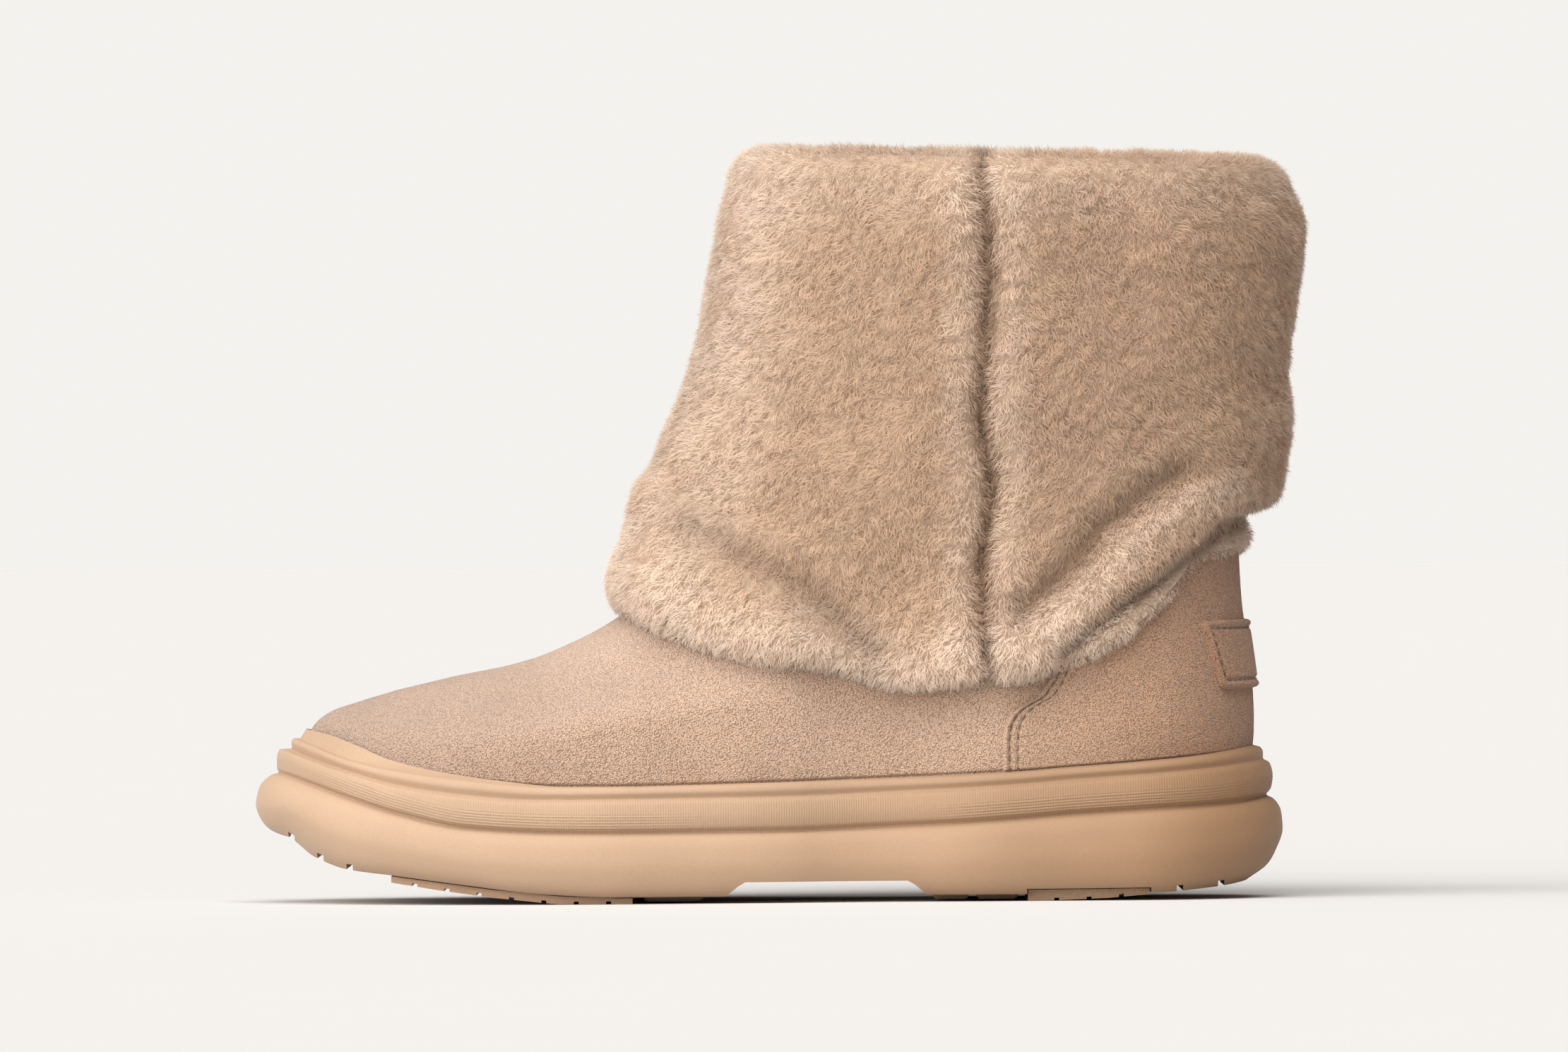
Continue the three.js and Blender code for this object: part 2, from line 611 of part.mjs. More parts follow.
// The region behind the counter's edge and above the lip of the sole.
function counterRegion() {
  const edge = counterEdge.map((p) => corner(p.x * soleLength, p.z * collarHeight));
  const sill = [];
  const start = edge[0].x;
  const steps = 10;
  for (let i = 0; i <= steps; i += 1) {
    const x = lerp(soleLength * 1.02, start, i / steps);
    sill.push(corner(x, lineHeight("lip", Math.min(x, soleLength)) + fitGap));
  }
  const above = edge.filter((p) => p.z > sill[steps].z);
  const top = above[above.length - 1];
  return sidePrism([...sill, ...above, corner(top.x, counterHeight), corner(sill[0].x, counterHeight)]);
}

const counterRows = [1, 2, 4, 6, 8, 10, 12];

function counterSolid() {
  const shell = upperShell(counterRows, fitGap, fitGap + counterWall);
  return shell.intersect(counterRegion());
}

function tabSolid() {
  const inside = 2 * fitGap + counterWall;
  const shell = upperShell(counterRows, inside, inside + tabWall);
  const outline = tabCorners.map((p) => corner(p.x * soleLength, p.z * collarHeight));
  return shell.intersect(sidePrism(outline));
}

// The cuff

// The place on the upper with a given x and height on one side, as a row and a turn.
function placeOnUpper(x, z, side) {
  let [low, high] = [0, lastRow];
  const shareAt = (row) => (x - frontX(row)) / (backX(row) - frontX(row));
  for (let i = 0; i < 40; i += 1) {
    const row = (low + high) / 2;
    const share = shareAt(row);
    const inRing = share >= 0;
    const at = THREE.MathUtils.clamp(share, 0, 1);
    const height = ringHeight(row, at) - profile.dip(row) * edgeDip(at);
    if (inRing && height < z) low = row;
    else high = row;
  }
  const share = THREE.MathUtils.clamp(shareAt(low), 0, 1);
  return { row: low, turn: turnOf(share, side) };
}

// The x of the upper's front or back edge at a height.
function edgeAtHeight(z, xAt, share) {
  let [low, high] = [0, lastRow];
  for (let i = 0; i < 40; i += 1) {
    const row = (low + high) / 2;
    if (ringHeight(row, share) < z) low = row;
    else high = row;
  }
  return xAt(low);
}

// How far the fur's surface stands off the upper on a ring of the cuff.
function pileAt(row, share, x, z) {
  const toFront = 1 - smoothstep(share, 0, frontReach);
  const toBack = smoothstep(share, 1 - backReach, 1);
  const level = cuff.side(row);
  const stand = level + (cuff.front(row) - level) * toFront + (cuff.back(row) - level) * toBack;
  const seamX = soleLength * seam.x(z / collarHeight);
  const groove = seamGrooveDepth * bump(x - seamX, seamGrooveWidth);
  return Math.max(pileDepth * stand - groove * Math.min(1, stand), cuffClearance);
}

// A ring of the cuff in the side view: x and z for every share of the way from front to back.
function cuffLine(row) {
  const [zFront, zBack] = [cuff.frontZ(row), cuff.backZ(row)].map((z) => z * collarHeight);
  const xFront = edgeAtHeight(zFront, frontX, 0);
  const xBack = edgeAtHeight(zBack, backX, 1);
  const lineAt = (share) => {
    const drop = hemDrop * hem.drop(share) * cuff.keep(row);
    return corner(lerp(xFront, xBack, share), lerp(zFront, zBack, share) - drop);
  };
  let seamShare = 0.5;
  for (let i = 0; i < 6; i += 1) {
    const seamX = soleLength * seam.x(lineAt(seamShare).z / collarHeight);
    seamShare = (seamX - xFront) / (xBack - xFront);
  }
  return { lineAt, seamShare };
}

// Even columns with two more beside each seam column.
const cuffTurns = turns(cuffColumns)
  .flatMap((turn, i) => {
    const beside = seamColumnSpread / cuffColumns;
    const atSeam = i === seamColumn || i === cuffColumns - seamColumn;
    return atSeam ? [turn - beside, turn, turn + beside] : [turn];
  });

// A turn moved along its ring, so that the seam columns follow the seam.
function drawnTurn(turn, seamShare) {
  const share = turnShare(turn);
  const home = turnShare(seamColumn / cuffColumns);
  const drawn =
    share < home ? (share * seamShare) / home : 1 - ((1 - share) * (1 - seamShare)) / (1 - home);
  return turnOf(drawn, turnSide(turn));
}

// One ring of the cuff on the upper; the distance is worked out from the pile there.
function cuffRing(row, distanceOf) {
  const { lineAt, seamShare } = cuffLine(row);
  return cuffTurns.map((turn) => {
    const share = turnShare(drawnTurn(turn, seamShare));
    const { x, z } = lineAt(share);
    const place = placeOnUpper(x, z, turnSide(turn));
    return upperOffset(place.row, place.turn, distanceOf(pileAt(row, share, x, z)));
  });
}

// A ring beside the upper in the cuff's columns as they stand at the collar.
function collarRing(row, distance) {
  const { seamShare } = cuffLine(cuffTopRow);
  return cuffTurns.map((turn) => upperOffset(row, drawnTurn(turn, seamShare), distance));
}

const cuffWall = pileDepth + hideThickness;
const onPile = (pile) => pile;
const underHide = (pile) => Math.max(cuffClearance, pile - cuffWall);

// The roll over the collar, from the outer face at collar height to the inner leg.
function rollRing(angle, outer, inner) {
  return outer.map((p, i) => {
    const q = inner[i];
    const middle = p.clone().add(q).multiplyScalar(0.5);
    const across = p.clone().sub(middle).multiplyScalar(Math.cos(angle));
    const height = rollHeight - rollRearDrop * turnShare(cuffTurns[i]);
    return middle.add(across).add(new THREE.Vector3(0, 0, height * Math.sin(angle)));
  });
}

// The ring of the shaft at one height, where the rings are level.
function rowAtHeight(z) {
  let [low, high] = [12, lastRow];
  for (let i = 0; i < 40; i += 1) {
    const row = (low + high) / 2;
    if (ringHeight(row, 0.5) < z) low = row;
    else high = row;
  }
  return low;
}

function cuffBody() {
  const outer = rowsBetween(1, cuffTopRow).map((row) => cuffRing(row, onPile));
  const innerPile = -upperWall - pileDepth * 0.88;
  const legRow = rowAtHeight(collarHeight - innerLegLength);
  const midRow = (legRow + collarRow) / 2;
  const leg = [collarRow, midRow, legRow].map((row) => collarRing(row, innerPile));
  const crest = [0.27, 0.5, 0.73].map((share) =>
    rollRing(share * Math.PI, outer[outer.length - 1], leg[0]),
  );
  const besideWall = [legRow, collarRow].map((row) => collarRing(row, -upperWall - 2 * fitGap));
  for (const p of besideWall[1]) p.z = collarHeight + 2 * fitGap;
  const overWall = collarRing(collarRow, cuffClearance);
  for (const p of overWall) p.z = collarHeight + 2 * fitGap;
  const back = [9, 7, 5, 3, 1, 0].map((row) => cuffRing(row, underHide));
  return loft([...outer, ...crest, ...leg, ...besideWall, overWall, ...back], true);
}

// One lock of fur: a ridge along places on the surface that ends in a point past the last.
function lockSolid(path, out, size) {
  const tip = path.length - 1;
  const stack = lockTable.map(({ lift, half, thick }, k) => {
    const down = path[Math.min(k + 1, tip)].clone().sub(path[Math.max(k - 1, 0)]);
    const across = down.cross(out).normalize();
    return turns(4).map((turn) => {
      const angle = 2 * Math.PI * turn;
      const p = path[k].clone().addScaledVector(out, lockLift * (lift + thick * Math.sin(angle)));
      return p.addScaledVector(across, lockWidth * size * half * Math.cos(angle));
    });
  });
  return loft(stack);
}

// Locks along the cuff over four of its rings, a lockPitch apart.
function lockRow(rows, wanted) {
  const path = rows.map((row) => cuffRing(row, onPile));
  const ring = path[2];
  const locks = [];
  let walked = lockPitch;
  ring.forEach((p, i) => {
    const next = ring[(i + 1) % ring.length];
    walked += p.distanceTo(next);
    const beside = Math.abs(p.x - soleLength * seam.x(p.z / collarHeight)) < lockWidth * 0.7;
    if (walked < lockPitch || beside || !wanted(turnShare(cuffTurns[i]))) return;
    walked = 0;
    const places = path.map((places) => places[i].clone());
    const down = places[2].clone().sub(places[1]).normalize();
    const out = next.clone().sub(p).cross(down).normalize();
    const size = 0.9 + 0.25 * Math.abs(Math.sin(3.1 * i));
    places[3].addScaledVector(down, lockOverhang * size).addScaledVector(out, lockLift);
    locks.push(lockSolid(places, out, size));
  });
  return locks;
}

function cuffLocks() {
  const everywhere = () => true;
  const behind = (share) => share > rollStart;
  return [...lockRow(hemLockRows, everywhere), ...lockRow(rollLockRows, behind)];
}

// The part of the side view in front of the cuff's seam or behind it.
function seamRegion(sign) {
  const path = [];
  const steps = 16;
  for (let i = 0; i <= steps; i += 1) {
    const z = collarHeight * lerp(0.2, 1.2, i / steps);
    path.push(corner(soleLength * seam.x(z / collarHeight) + (sign * seamGap) / 2, z));
  }
  const far = sign < 0 ? -soleLength : 2 * soleLength;
  return sidePrism([...path, corner(far, collarHeight * 1.2), corner(far, collarHeight * 0.2)]);
}

// Materials

function finish(colour, roughness) {
  return new THREE.MeshStandardMaterial({ color: colour, roughness, metalness: 0 });
}

const foam = finish(0xc39c76, 0.62);
const rubber = finish(0xb98f69, 0.7);
const suede = finish(0xc79f80, 0.95);
const fur = finish(0xc8a98a, 1);
const fleece = finish(0xd0b497, 1);

// The boot

const boot = new THREE.Group();
const cuffWhole = cuffLocks().reduce((made, lock) => made.add(lock), cuffBody());
boot.add(
  meshOf("midsole", midsoleSolid(), foam),
  meshOf("outsole_forefoot", padSolid(padInset, padTop, padSpan), rubber),
  meshOf("outsole_heel", padSolid(padInset, heelPadTop, heelPadSpan), rubber),
  meshOf("insole", insoleSolid(), fleece),
  meshOf("upper", upperShell(rowsBetween(0, collarRow), -upperWall, 0), suede),
  meshOf("heel_counter", counterSolid(), suede),
  meshOf("heel_tab", tabSolid(), suede),
  meshOf("cuff_front", cuffWhole.intersect(seamRegion(-1)), fur),
  meshOf("cuff_rear", cuffWhole.intersect(seamRegion(1)), fur),
);

// The origin is under the middle of the boot, on the ground.
const bounds = new THREE.Box3().setFromObject(boot);
const middle = bounds.getCenter(new THREE.Vector3());
boot.position.set(-middle.x, -middle.y, -bounds.min.z);

export default boot;
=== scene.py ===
"""Sheepskin ankle boot with a folded-down fur cuff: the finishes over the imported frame."""
import math
import bpy
import numpy as np
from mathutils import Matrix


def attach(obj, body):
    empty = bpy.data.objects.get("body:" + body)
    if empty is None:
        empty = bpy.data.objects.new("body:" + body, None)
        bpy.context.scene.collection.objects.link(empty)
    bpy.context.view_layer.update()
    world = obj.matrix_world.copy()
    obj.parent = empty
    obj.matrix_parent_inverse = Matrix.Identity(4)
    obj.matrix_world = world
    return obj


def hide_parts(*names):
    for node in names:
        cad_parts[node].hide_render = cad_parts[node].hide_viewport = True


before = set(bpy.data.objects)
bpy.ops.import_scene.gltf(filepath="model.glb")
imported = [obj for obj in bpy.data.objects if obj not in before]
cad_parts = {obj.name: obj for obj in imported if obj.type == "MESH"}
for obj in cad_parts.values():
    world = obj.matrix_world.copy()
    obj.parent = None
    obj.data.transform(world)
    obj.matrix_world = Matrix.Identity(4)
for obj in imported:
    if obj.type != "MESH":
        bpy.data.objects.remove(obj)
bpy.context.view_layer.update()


def add_object(name, data):
    obj = bpy.data.objects.new(name, data)
    bpy.context.scene.collection.objects.link(obj)
    return obj


# The camera, at the photograph's side view, and its slight roll
photo_width = 2220
pixel_size = 0.198e-3
lens_mm = 400.0
sensor_mm = 36.0
far_clip = 60.0
view_distance = photo_width * pixel_size * lens_mm / sensor_mm
view_x, view_height = 0.0008, 0.1048
view_roll = math.radians(0.38)
camera_data = bpy.data.cameras.new("camera")
camera_data.lens = lens_mm
camera_data.sensor_width = sensor_mm
camera_data.clip_end = far_clip
camera = add_object("camera", camera_data)
camera.location = (view_x, -view_distance, view_height)
camera.rotation_euler = (math.pi / 2, view_roll, 0.0)
bpy.context.scene.camera = camera
bpy.context.scene.view_settings.view_transform = "Standard"

# Named sizes in millimetres. While a form is worked out the toe end of the sole is at x = 0
# and its outer side towards -Y; to_metres moves it into the frame.
sole_length = 288.0
ball_width = 108.0
waist_width = 82.0
heel_width = 84.0
toe_swing = 7.0
sole_height = 33.0
sidewall_relief = 6.0
seat_depth = 2.7
arch_height = 4.0
heel_pad_depth = 1.5
block_lift = 0.4
block_inset = 11.0
notch_width = 1.8
notch_depth = 1.6
insole_thickness = 4.5
collar_height = 200.0
ankle_width = 76.0
collar_width = 98.0
side_ledge = 6.0
side_swell = 0.8
upper_wall = 2.2
counter_wall = 1.2
tab_wall = 1.1
fit_gap = 0.3
pile_depth = 12.0
roll_height = 11.5
roll_rear_drop = 2.6
hem_drop = 29.4
inner_leg = 28.0
instep_fill = 4.4
cuff_clearance = 2.3
hide_gap = cuff_clearance * 0.6
seam_groove_depth = 6.0
seam_groove_width = 3.1
toe_round = 0.22
heel_round = 0.15
front_reach = 0.38
back_reach = 0.34
collar_row = 16
last_row = 17
cuff_top_row = 10
seam_turn = 10 / 38
halvings = 40
inner_shift = 2.0
centre_x = 147.97
contour_pitch, contour_depth = 0.8, 0.085
# Stitch rows of the counter: distance from its edge, depth of the groove, how far the thread
# lies below the suede.
stitch_rows = ((2.0, 0.9, 0.55), (4.3, 0.55, 0.3))
tab_stitch_inset = 2.6
# Places in sole lengths, and the tab's lower and upper edge in collar heights.
arch_span, arch_slope = (0.46, 0.651), 0.017
pocket_span = (0.75, 0.868)
notch_places = (0.036, 0.065, 0.094, 0.897, 0.9375)
block_spans = ((0.377, 0.4375), (0.658, 0.693), (0.7, 0.741))
tab_front = (0.934, 0.9145)
tab_heights = (0.2905, 0.3875)


def to_metres(points):
    return (np.asarray(points) - (centre_x, 0.0, 0.0)) * 0.001


# Reading tables

def smooth_column(xs, ys):
    """A cubic through the rows, of numbers or of arrays, that never overshoots them."""
    xs, ys = np.asarray(xs, float), np.asarray(ys, float)
    rises = np.diff(ys, axis=0) / np.diff(xs).reshape((-1,) + (1,) * (ys.ndim - 1))
    before = np.concatenate([rises[:1], rises])
    after = np.concatenate([rises, rises[-1:]])
    both = before * after
    slopes = np.where(both > 0, 2 * both / np.where(both > 0, before + after, 1), 0)

    def read(x):
        at = np.clip(x, xs[0], xs[-1])
        i = np.clip(np.searchsorted(xs, at, side="right") - 1, 0, len(rises) - 1)
        width = xs[i + 1] - xs[i]
        t = (at - xs[i]) / width
        if ys.ndim > 1:
            width, t = width[:, None], t[:, None]
        pull = width * (slopes[i] * t * (1 - t) ** 2 + slopes[i + 1] * t * t * (t - 1))
        return ys[i] + (ys[i + 1] - ys[i]) * t * t * (3 - 2 * t) + pull

    return read


def smooth_table(names, rows):
    columns = list(zip(*rows))
    return {n: smooth_column(columns[0], c) for n, c in zip(names.split(), columns)}


plan = smooth_table("along ball waist heel swing", [
    (0.0, 0.8, 0, 0, 1), (0.1, 0.9, 0, 0, 0.85), (0.2, 0.97, 0, 0, 0.55),
    (0.31, 1, 0, 0, 0.2), (0.42, 0.66, 0.34, 0, -0.12), (0.54, 0.15, 0.85, 0, -0.3),
    (0.66, 0, 0.8, 0.2, -0.2), (0.8, 0, 0, 1, 0), (0.9, 0, 0, 1, 0), (1.0, 0, 0, 0.98, 0),
])
lines = smooth_table("along contact tread groove crease lip", [
    (0.0, 0.43, 0.52, 1.15, 1.37, 1.49), (0.028, 0.41, 0.57, 1.1, 1.33, 1.44),
    (0.059, 0.33, 0.4, 1.01, 1.23, 1.345), (0.09, 0.26, 0.3, 0.915, 1.14, 1.24),
    (0.139, 0.18, 0.245, 0.78, 1.02, 1.143), (0.208, 0.09, 0.165, 0.65, 0.927, 1.058),
    (0.278, 0.015, 0.09, 0.612, 0.885, 1.0), (0.306, 0, 0.075, 0.606, 0.885, 0.992),
    (0.347, 0, 0.058, 0.603, 0.888, 0.991), (0.5, 0, 0.058, 0.609, 0.9, 1.015),
    (0.65, 0, 0.058, 0.652, 0.945, 1.058), (0.75, 0, 0.058, 0.706, 0.994, 1.1),
    (0.785, 0, 0.058, 0.73, 1.02, 1.125), (0.868, 0.05, 0.063, 0.776, 1.07, 1.176),
    (0.931, 0.08, 0.103, 0.806, 1.12, 1.224), (0.965, 0.13, 0.15, 0.836, 1.158, 1.267),
    (0.986, 0.18, 0.22, 0.873, 1.182, 1.3), (1.0, 0.25, 0.27, 0.885, 1.19, 1.315),
])
# The sole's side: low line, high line, share between them, insets at toe, side and heel.
wall_table = [
    ("tread", "groove", 0.0, 1.3, 0.85, 1.7), ("tread", "groove", 0.1, 0.75, 0.42, 0.7),
    ("tread", "groove", 0.26, 0.3, 0.15, 0.3), ("tread", "groove", 0.5, 0, 0, 0),
    ("tread", "groove", 0.76, 0.2, 0.1, 0.08), ("tread", "groove", 0.93, 0.72, 0.36, 0.42),
    ("groove", "crease", 0.0, 1.08, 0.66, 0.75), ("groove", "crease", 0.16, 1.0, 0.4, 0.54),
    ("groove", "crease", 0.5, 1.0, 0.3, 0.45), ("groove", "crease", 0.86, 1.15, 0.38, 0.6),
    ("crease", "lip", 0.0, 1.7, 0.6, 0.9), ("crease", "lip", 0.45, 1.68, 0.48, 0.9),
    ("crease", "lip", 0.86, 1.82, 0.58, 1.03), ("crease", "lip", 1.0, 2.1, 0.78, 1.2),
]
profile = smooth_table("at front_x front_rise back_x back_rise dip", [
    (0, 0.0507, 0, 0.9662, 0, 1), (1, 0.0509, 0.019, 0.9664, 0.019, 1),
    (2, 0.0576, 0.0465, 0.9672, 0.044, 0.8), (3, 0.0712, 0.067, 0.9672, 0.066, 0.65),
    (4, 0.0972, 0.0847, 0.9672, 0.088, 0.5), (5, 0.139, 0.107, 0.967, 0.11, 0.38),
    (6, 0.1924, 0.13, 0.9665, 0.1345, 0.27), (7, 0.2476, 0.1502, 0.9644, 0.1656, 0.17),
    (8, 0.3028, 0.1852, 0.961, 0.209, 0.1), (9, 0.3507, 0.231, 0.9565, 0.265, 0.05),
    (10, 0.3924, 0.287, 0.954, 0.334, 0), (11, 0.4253, 0.354, 0.9533, 0.402, 0),
    (12, 0.4497, 0.44, 0.9564, 0.489, 0), (13, 0.468, 0.5544, 0.9601, 0.595, 0),
    (14, 0.483, 0.7008, 0.9639, 0.72, 0), (15, 0.4938, 0.8727, 0.9674, 0.8755, 0),
    (16, 0.5, 1, 0.9705, 1, 0), (17, 0.505, 1.1, 0.973, 1.1, 0),
])
rings = smooth_table("at nose counter shaft flare swell", [
    (0, 0.22, 0.143, 0, 0, 0), (1, 0.22, 0.143, 0, 0, 0.1), (2, 0.23, 0.144, 0, 0, 0.8),
    (3, 0.256, 0.146, 0, 0, 1), (4, 0.31, 0.15, 0, 0, 0.7), (5, 0.408, 0.1625, 0, 0, 0.3),
    (6, 0.5, 0.178, 0.03, 0, 0), (7, 0.567, 0.202, 0.1, 0, 0), (8, 0.586, 0.235, 0.25, 0, 0),
    (9, 0.568, 0.278, 0.45, 0, 0), (10, 0.54, 0.331, 0.65, 0.05, 0),
    (11, 0.508, 0.385, 0.85, 0.12, 0), (12, 0.5, 0.43, 1, 0.28, 0), (13, 0.5, 0.47, 1, 0.5, 0),
    (14, 0.5, 0.49, 1, 0.75, 0), (15, 0.5, 0.5, 1, 0.93, 0), (16, 0.5, 0.5, 1, 1, 0),
    (17, 0.5, 0.5, 1, 1.05, 0),
])
cuff = smooth_table("at front_z back_z keep front side back", [
    (0, 0.4025, 0.486, 1, 0.17, 0.17, 0.17), (1, 0.404, 0.4925, 1, 0.54, 0.6, 0.42),
    (2, 0.415, 0.5175, 0.97, 1.12, 1, 0.54), (3, 0.445, 0.545, 0.92, 1.46, 1.1, 0.46),
    (4, 0.48, 0.5675, 0.84, 1.7, 1.12, 1.1), (5, 0.535, 0.6, 0.72, 1.75, 1.12, 1.22),
    (6, 0.6125, 0.675, 0.52, 1.7, 1.08, 1.32), (7, 0.715, 0.75, 0.3, 1.42, 1.04, 1.15),
    (8, 0.815, 0.84, 0.12, 1.25, 1, 1.31), (9, 0.915, 0.935, 0.02, 1.08, 1, 1.42),
    (10, 1, 0.9975, 0, 0.92, 0.95, 1.02),
])
hem = smooth_table("at drop", [
    (0.0, 0), (0.04, 0.15), (0.1, 0.33), (0.19, 0.54), (0.26, 0.65), (0.35, 0.75),
    (0.45, 0.95), (0.55, 1), (0.65, 1), (0.7, 0.94), (0.76, 0.86), (0.81, 0.73),
    (0.85, 0.56), (0.89, 0.33), (0.94, 0.05), (1.0, 0),
])
# Lines in the side view: z in collar heights, x in sole lengths.
seam = smooth_table("z x", [
    (0.2, 0.719), (0.46, 0.708), (0.58, 0.717), (0.68, 0.709), (0.88, 0.716), (1.02, 0.711),
    (1.2, 0.718),
])
counter_edge = smooth_table("z x", [
    (0.1, 0.7275), (0.217, 0.7257), (0.238, 0.727), (0.255, 0.732), (0.267, 0.74),
    (0.275, 0.749), (0.284, 0.76), (0.297, 0.766), (0.308, 0.771), (0.34, 0.778), (0.4, 0.78),
])
# Soft troughs laid in the fur, with their depth and half width.
troughs = [
    (2.8, 5.2, [(0.43, 0.535), (0.4938, 0.4756), (0.541, 0.4376), (0.5806, 0.38), (0.605, 0.35)]),
    (4.0, 4.6, [(0.743, 0.405), (0.768, 0.4375), (0.7976, 0.477), (0.8164, 0.526),
                (0.857, 0.5743), (0.8827, 0.601)]),
    (4.4, 2.8, [(0.785, 0.345), (0.8476, 0.419), (0.893, 0.4633), (0.9305, 0.5054),
                (0.978, 0.5474), (1.02, 0.575)]),
]
# The top of the soft roll between the two rear troughs, where the fibres get a painted highlight.
rear_roll = [(0.769, 0.389), (0.795, 0.419), (0.821, 0.452), (0.844, 0.485), (0.865, 0.515),
             (0.906, 0.554), (0.947, 0.579)]


def line_height(name, x):
    return sole_height * lines[name](x / sole_length)


def round_end(share):
    return np.where(share >= 1, 1.0, np.sqrt(np.clip(share * (2 - share), 0, None)))


def blend(a, b, t):
    return a + (b - a) * t


def smoothstep(x, low, high):
    t = np.clip((x - low) / (high - low), 0, 1)
    return t * t * (3 - 2 * t)


def turn_share(turn):
    return (1 - np.cos(2 * np.pi * turn)) / 2


def turn_side(turn):
    return np.where(np.sin(2 * np.pi * turn) > 0, -1.0, 1.0)


def turn_of(share, side):
    half = np.arccos(np.clip(1 - 2 * share, -1, 1)) / (2 * np.pi)
    return np.where(side < 0, half, 1 - half)


def unit(v):
    return v / np.maximum(np.linalg.norm(v, axis=-1, keepdims=True), 1e-12)


def noise(points, size, seed):
    """Smooth noise from -1 to 1 with cells of a size, the same on each run."""
    p = np.asarray(points) / size
    cell = np.floor(p).astype(np.int64)
    f = p - cell
    f = f * f * (3 - 2 * f)
    total = 0
    for k in range(8):
        step = ((k >> 2) & 1, (k >> 1) & 1, k & 1)
        c = cell + step
        h = c[..., 0] * 374761393 + c[..., 1] * 668265263 + c[..., 2] * 1440662683 + seed * 97531
        h = (h ^ (h >> 13)) * 1274126177
        h = ((h ^ (h >> 16)) & 0xFFFF) / 32767.5 - 1
        weight = 1
        for axis in range(3):
            weight = weight * (f[..., axis] if step[axis] else 1 - f[..., axis])
        total = total + h * weight
    return total


# The forms, repeated from the part's own functions

def sole_centre(x):
    return toe_swing * plan["swing"](x / sole_length)


def sole_half(x):
    share = x / sole_length
    widths = (("ball", ball_width), ("waist", waist_width), ("heel", heel_width))
    return sum(size * plan[name](share) for name, size in widths) / 2


def outline_point(turn):
    share = turn_share(turn)
    x = sole_length * share
    ends = round_end(share / toe_round) * round_end((1 - share) / heel_round)
    return np.stack([x, sole_centre(x) + turn_side(turn) * sole_half(x) * ends], -1)


def inset_points(turn, toe, side, heel):
    """The outline drawn in by insets; rows of insets against columns of turns."""
    here = outline_point(turn)
    along = unit(outline_point(turn + 1e-3) - outline_point(turn - 1e-3))
    inward = np.stack([-along[..., 1], along[..., 0]], -1)
    share = here[..., 0] / sole_length
    toe_weight = np.clip(1 - share / toe_round, 0, None) ** 2
    heel_weight = np.clip(1 - (1 - share) / heel_round, 0, None) ** 2
    inset = side + (toe - side) * toe_weight + (heel - side) * heel_weight
    return here + inward * np.asarray(inset)[..., None]


def front_x(row):
    return sole_length * profile["front_x"](row)


def back_x(row):
    return sole_length * profile["back_x"](row)


def rise_from(x, share):
    return blend(line_height("lip", x) - seat_depth, collar_height, share)


def ring_height(row, share):
    low = rise_from(front_x(0), profile["front_rise"](row))
    return blend(low, rise_from(back_x(0), profile["back_rise"](row)), share)


def edge_dip(share):
    return ring_height(0, share) - rise_from(blend(front_x(0), back_x(0), share), 0)


def dipped_height(row, share):
    return ring_height(row, share) - profile["dip"](row) * edge_dip(share)


def upper_point(row, turn):
    share = turn_share(turn)
    x = blend(front_x(row), back_x(row), share)
    z = dipped_height(row, share)
    foot = sole_half(x) - side_ledge + side_swell * rings["swell"](row)
    shaft = blend(ankle_width, collar_width, rings["flare"](row)) / 2
    ends = round_end(share / rings["nose"](row)) * round_end((1 - share) / rings["counter"](row))
    half = blend(foot, shaft, rings["shaft"](row)) * ends
    centre = sole_centre(x) * (1 - rings["shaft"](row))
    return np.stack(np.broadcast_arrays(x, centre + turn_side(turn) * half, z), -1)


def upper_offset(row, turn, distance):
    row, turn = np.broadcast_arrays(np.asarray(row, float), np.asarray(turn, float))
    low, high = np.clip(row - 0.02, 0, None), np.clip(row + 0.02, None, last_row)
    around = upper_point(row, turn + 2e-3) - upper_point(row, turn - 2e-3)
    normal = np.cross(around, upper_point(high, turn) - upper_point(low, turn))
    level = (row <= 0) | (row >= collar_row)
    normal[..., 2] = np.where(level, 0, normal[..., 2])
    return upper_point(row, turn) + unit(normal) * np.asarray(distance)[..., None]


def highest_row(start, is_under):
    """The highest row above the start that still lies under a height, by halving."""
    low, high = start, np.full_like(start, last_row)
    for _ in range(halvings):
        row = (low + high) / 2
        under = is_under(row)
        low, high = np.where(under, row, low), np.where(under, high, row)
    return low


def edge_at_height(z, x_at, share):
    return x_at(highest_row(np.zeros_like(z), lambda row: ring_height(row, share) < z))


def place_on_upper(x, z, side):
    def share_at(row):
        return (x - front_x(row)) / (back_x(row) - front_x(row))

    def is_under(row):
        share = share_at(row)
        return (share >= 0) & (dipped_height(row, np.clip(share, 0, 1)) < z)

    row = highest_row(np.zeros_like(x), is_under)
    return row, turn_of(np.clip(share_at(row), 0, 1), side)


def cuff_line(row):
    z_front, z_back = (cuff[name](row) * collar_height for name in ("front_z", "back_z"))
    x_front = edge_at_height(z_front, front_x, 0)
    x_back = edge_at_height(z_back, back_x, 1)

    def line_at(share):
        drop = hem_drop * hem["drop"](share) * cuff["keep"](row)
        return blend(x_front, x_back, share), blend(z_front, z_back, share) - drop

    seam_share = np.full_like(z_front, 0.5)
    for _ in range(6):
        z = line_at(seam_share)[1]
        seam_share = (sole_length * seam["x"](z / collar_height) - x_front) / (x_back - x_front)
    return line_at, seam_share


def drawn_turn(turn, seam_share):
    share, home = turn_share(turn), turn_share(seam_turn)
    ahead = share * seam_share / home
    behind = 1 - (1 - share) * (1 - seam_share) / (1 - home)
    return turn_of(np.where(share < home, ahead, behind), turn_side(turn))


